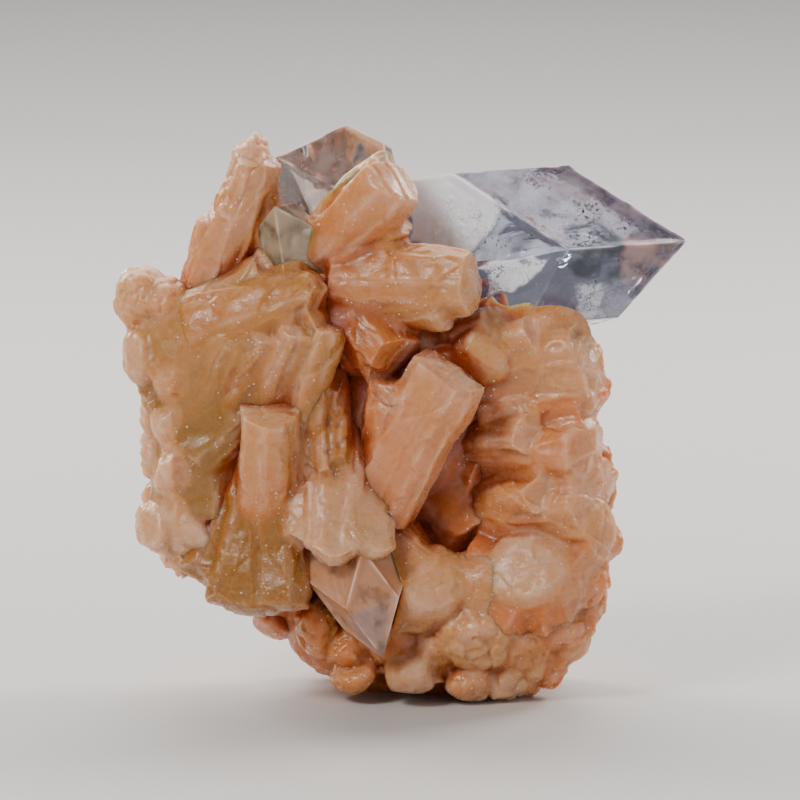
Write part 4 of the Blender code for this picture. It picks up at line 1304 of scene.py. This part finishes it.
# each clear crystal: mm between its points, mm of its waves, fine ridges and growth steps, softness of its
# patches' rims in mm, its tones, how rough it is, and patches by their corners in the front view
clearLooks = {
    "apophyllite_point": {
        "slot": "apophyllite_clear",
        "spacing": 0.46, "wave": 0.10, "stria": 0.012, "step": 0.05, "soft": 0.35,
        "tint": colour(0.54, 0.57, 0.70), "rough": 0.03, "frost": colour(0.24, 0.25, 0.36), "edge": 0.8,
        "warm": colour(0.46, 0.29, 0.27), "paintedShade": colour(0.03, 0.04, 0.06), "worn": colour(0.86, 0.90, 1.0),
        "haze": 0.30, "blush": 0.1,
        # a patch's shade is painted shade: the dark that showed through the crystal
        "patches": (
            (((5.6, 57.9), (18.6, 58.6), (31.4, 50.3), (18.3, 49.3)), {"haze": 0.55, "warm": 0.50}),
            (((7.7, 48.8), (11.2, 53.5), (18.3, 49.3), (9.1, 47.5)), {"haze": 0.45, "shade": 0.5}),
            (((11.2, 46.0), (18.0, 48.6), (19.5, 45.3), (19.5, 41.0), (14.0, 41.0)),
             {"haze": 0.50, "shade": 0.6}),
            (((18.0, 51.5), (21.0, 52.8), (24.2, 50.6), (24.6, 46.2), (20.5, 44.8), (17.4, 47.8)),
             {"haze": 0.72, "shade": 1.0, "warm": 0.0}),
            (((24.0, 50.6), (31.4, 50.3), (26.4, 45.4), (24.2, 45.4)), {"haze": 0.55, "warm": 1.0}),
            (((1.2, 58.2), (5.6, 58.2), (11.3, 53.5), (7.7, 48.8), (1.2, 50.0)),
             {"etched": 1.0, "haze": 0.75}),
            (((9.0, 47.6), (16.4, 48.6), (14.0, 45.2), (9.9, 44.4)), {"etched": 0.9, "haze": 0.6}),
            (((19.4, 45.2), (22.4, 45.6), (22.4, 41.6), (19.4, 41.6)), {"etched": 0.6, "haze": 0.35}),
            (((22.4, 46.0), (25.6, 46.0), (24.6, 41.6), (22.4, 41.6)), {"etched": 0.25, "haze": 0.55}),
        ),
    },
    "apophyllite_top": {
        "slot": "apophyllite_pink",
        "spacing": 0.42, "wave": 0.08, "stria": 0.012, "step": 0.04, "soft": 0.3,
        "tint": colour(0.74, 0.64, 0.60), "rough": 0.05, "frost": colour(0.38, 0.28, 0.26), "edge": 0.8,
        "warm": colour(0.62, 0.28, 0.10), "paintedShade": colour(0.07, 0.06, 0.06), "worn": colour(0.88, 0.76, 0.70),
        "haze": 0.38, "blush": 0.25,
        "patches": (
            (((-13.5, 60.5), (-7.0, 61.5), (-5.0, 57.0), (-9.0, 52.0), (-13.5, 54.0)),
             {"haze": 0.40, "warm": 0.1}),
            (((-8.0, 63.5), (1.0, 63.5), (1.0, 58.0), (-4.6, 57.6)), {"haze": 0.62, "warm": 0.85}),
            # painted shade: the pit, a dark triangle where one looked through the crystal
            (((-5.4, 58.4), (-4.6, 60.8), (-3.2, 58.8)), {"haze": 1.0, "shade": 1.0, "warm": 0.0}),
        ),
    },
    "apophyllite_inner": {
        "slot": "apophyllite_grey",
        "spacing": 0.40, "wave": 0.06, "stria": 0.02, "step": 0.04, "soft": 0.3,
        "tint": colour(0.74, 0.70, 0.60), "rough": 0.08, "frost": colour(0.40, 0.33, 0.24), "edge": 0.5,
        "warm": colour(0.55, 0.34, 0.16), "paintedShade": colour(0.07, 0.06, 0.04), "worn": colour(0.70, 0.64, 0.54),
        "haze": 0.62, "blush": 0.3, "patches": (),
    },
    "apophyllite_low": {
        "slot": "apophyllite_rose",
        "spacing": 0.34, "wave": 0.10, "stria": 0.03, "step": 0.07, "soft": 0.3,
        "tint": colour(0.84, 0.66, 0.52), "rough": 0.10, "frost": colour(0.50, 0.31, 0.24), "edge": 1.2,
        "warm": colour(0.58, 0.26, 0.11), "paintedShade": colour(0.30, 0.17, 0.15), "worn": colour(0.86, 0.68, 0.58),
        "haze": 1.15, "blush": 0.45,
        "patches": (
            (((-12.0, 14.0), (-5.0, 17.0), (1.0, 13.0), (-6.0, 8.8)),
             {"haze": 1.4, "warm": 0.9, "shade": 0.2}),
            (((-6.0, 9.5), (-1.0, 10.5), (-1.6, 4.6), (-3.0, 5.0)),
             {"haze": 1.1, "warm": 0.1, "shade": 0.7}),
        ),
    },
}
# dark flakes inside the clear crystals: crystal, middle and spread in the front view, depth under the front
# face, largest size in mm and count
inclusionLook = {
    "tint": colour(0.03, 0.032, 0.045), "rough": 0.4, "seed": 17,
    "groups": (
        ("apophyllite_point", (15.0, 57.0), (1.6, 1.0), (0.2, 1.2), 0.42, 110),
        ("apophyllite_point", (20.6, 54.8), (2.6, 2.0), (0.2, 1.6), 0.44, 160),
        ("apophyllite_point", (23.6, 52.2), (3.4, 1.5), (0.2, 1.6), 0.26, 70),
        ("apophyllite_point", (21.4, 48.8), (2.6, 3.0), (0.2, 2.0), 0.50, 260),
        ("apophyllite_point", (24.2, 48.6), (0.3, 2.6), (0.15, 0.5), 0.60, 120),
        ("apophyllite_point", (10.5, 50.6), (3.0, 1.6), (0.2, 1.2), 0.26, 60),
        ("apophyllite_top", (-9.0, 58.2), (2.8, 2.2), (0.3, 2.0), 0.18, 26),
        ("apophyllite_inner", (-12.0, 49.4), (2.4, 1.6), (0.2, 1.2), 0.16, 26),
        ("apophyllite_low", (-3.6, 9.4), (3.0, 4.0), (0.1, 0.7), 0.12, 110),
    ),
}
# bright crystals on the stilbite: share of its points that carry one, and mm from middle to end
sparkleLook = {
    "tint": colour(0.92, 0.74, 0.58), "rough": 0.08, "share": 0.020, "size": (0.08, 0.19), "seed": 3,
}
# a flat crystal of eight faces
flake = {
    "points": ((1, 0, 0), (0, 1, 0), (-1, 0, 0), (0, -1, 0), (0, 0, 0.22), (0, 0, -0.22)),
    "faces": ((0, 1, 4), (1, 2, 4), (2, 3, 4), (3, 0, 4), (1, 0, 5), (2, 1, 5), (3, 2, 5), (0, 3, 5)),
}
shown = []  # points, normals, crests and hollows of each stilbite piece


def depthSpan(planes, across, up):
    # how far forward the line of sight goes into and out of a solid of planes
    normals, reach = planes
    start = seen(across, up, 0.0)
    step = seen(across, up, 1.0) - start
    rise, room = normals @ step, reach - normals @ start
    return (room[rise < -1e-6] / rise[rise < -1e-6]).max(), (room[rise > 1e-6] / rise[rise > 1e-6]).min()


def growInclusions():
    # thin flakes under the front faces, each turned its own way and kept wholly inside its crystal
    chance = random.Random(inclusionLook["seed"])
    shape, turns = np.array(flake["points"]), np.array(flake["faces"])
    points, faces = [], []
    for name, middle, spread, depth, size, count in inclusionLook["groups"]:
        normals, reach = clear[name]
        for _ in range(count):
            across = chance.gauss(middle[0], spread[0] * 0.6)
            up = chance.gauss(middle[1], spread[1] * 0.6)
            sink = chance.uniform(*depth)
            far, near = depthSpan(clear[name], across, up)
            first, second = randomWay(chance), randomWay(chance)
            third = unit(np.cross(first, second))
            long, wide = size * chance.uniform(0.4, 1.0), size * chance.uniform(0.15, 0.6)
            if near - far < sink + 1.0:
                continue
            axes = np.array([first * long, np.cross(third, first) * wide, third * wide])
            place = seen(across, up, near - sink)
            if (normals @ place - reach).max() > -long * 1.1:
                continue
            faces.append(turns + len(points) * len(shape))
            points.append(place + shape @ axes)
    mesh = meshOf("apophyllite_inclusions", (np.concatenate(points) + shift) * mm, np.concatenate(faces))
    paint = Paint("inclusions")
    paint.set("Base Color", inclusionLook["tint"])
    paint.set("Roughness", inclusionLook["rough"])
    mesh.materials.append(paint.material)
    piece = objectOf("apophyllite_inclusions", mesh)
    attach(piece, "root")
    print(piece.name, "has", len(points), "flakes")


def growSparkle():
    # tiny flat crystals strewn over the stilbite, with more of them in patches of noise and along the crests,
    # and none in the hollows or beside a clear crystal; each lies nearly flat and is turned at random
    points, normals, crest, hollow = [np.concatenate(parts) for parts in zip(*shown)]
    chance = np.random.default_rng(sparkleLook["seed"])
    patch = smooth(-0.3, 0.5, noise(points, 7.0, 41)) * 0.8 + 0.2 + 0.8 * crest
    likely = patch * (1 - smooth(0.55, 0.75, hollow)) * (keepClear(points) > 0.9)
    place = np.flatnonzero(chance.uniform(0, 1, len(points)) < sparkleLook["share"] * likely)
    count = len(place)
    out = normals[place] + chance.normal(0, 0.22, (count, 3))
    out /= np.linalg.norm(out, axis=1)[:, None]
    side = np.cross(out, chance.normal(0, 1, (count, 3)))
    side /= np.linalg.norm(side, axis=1)[:, None]
    size = chance.uniform(*sparkleLook["size"], (count, 1, 1))
    width = chance.uniform(0.4, 1.0, (count, 1))
    axes = np.stack([side, np.cross(out, side) * width, out * 0.35], axis=1) * size
    middles = points[place] + normals[place] * 0.02
    made = np.einsum("vk,nkj->nvj", np.array(flake["points"]), axes) + middles[:, None]
    starts = np.arange(count) * len(flake["points"])
    faces = (np.array(flake["faces"])[None] + starts[:, None, None]).reshape(-1, 3)
    mesh = meshOf("stilbite_sparkle", (made.reshape(-1, 3) + shift) * mm, faces)
    paint = Paint("sparkle")
    paint.set("Base Color", sparkleLook["tint"])
    paint.set("Roughness", sparkleLook["rough"])
    paint.set("Coat Weight", 1.0)
    paint.set("Coat Roughness", 0.05)
    mesh.materials.append(paint.material)
    piece = objectOf("stilbite_sparkle", mesh)
    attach(piece, "root")
    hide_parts("stilbite_cluster")
    print(piece.name, "has", count, "crystals")


def keepClear(points):
    # 0 on a seat's walls, rising to 1 away from every clear crystal
    nearest = np.full(len(points), 9.0)
    for normals, reach in clear.values():
        nearest = np.minimum(nearest, (points @ normals.T - reach).max(axis=1) - making["seatGap"])
    return smooth(0.0, making["clear"], nearest)


def seatOf(name, normals, reach):
    # the hull of the clear crystal's corners, grown by the gap
    points = cornersOf(normals, reach + making["seatGap"])
    rounded = np.unique(points.round(4), axis=0)
    body = bmesh.new()
    for point in rounded:
        body.verts.new(point)
    bmesh.ops.convex_hull(body, input=body.verts)
    mesh = bpy.data.meshes.new(name)
    body.to_mesh(mesh)
    body.free()
    return objectOf(name, mesh)


setStage()
print("stage set")
seats = [seatOf("seat_" + name, *planes) for name, planes in clear.items()]
voxels = {"front": 0.23, "middle": 0.55, "back": 0.44}  # mm: what shows most is the finest
pieces = {
    "stilbite_left_sheaf": (crystalsFrom(leftSheaf), voxels["front"]),
    "stilbite_skirt": (crystalsFrom(columnAndSkirt), voxels["front"]),
    "stilbite_upper_blades": (crystalsFrom(upperBlades), voxels["front"]),
    "stilbite_right_rosette": (crystalsFrom(rightRosette), voxels["front"]),
    "stilbite_lower_knobs": (crystalsFrom(lowerKnobs), voxels["front"]),
    "stilbite_middle": ([heartKnob()] + crystalsFrom(middleMass), voxels["middle"]),
    "stilbite_back": (crystalsFrom(crystalRoots) + backCrystals() + flankCrystals(), voxels["back"]),
}
everything = [crystal for crystals, _ in pieces.values() for crystal in crystals]
field = hollowField(everything)
print("hollow field of", len(everything), "crystals")
stilbite = stilbitePaint("stilbite", stilbiteLook)
for name, (crystals, voxel) in pieces.items():
    growPiece(name, crystals, voxel, field, stilbite)
growSparkle()
for seat in seats:
    bpy.data.objects.remove(seat)
print("stilbite grown")

for name, look in clearLooks.items():
    growClear(name, clear[name], look)
growInclusions()
print("clear crystals grown")

low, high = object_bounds()
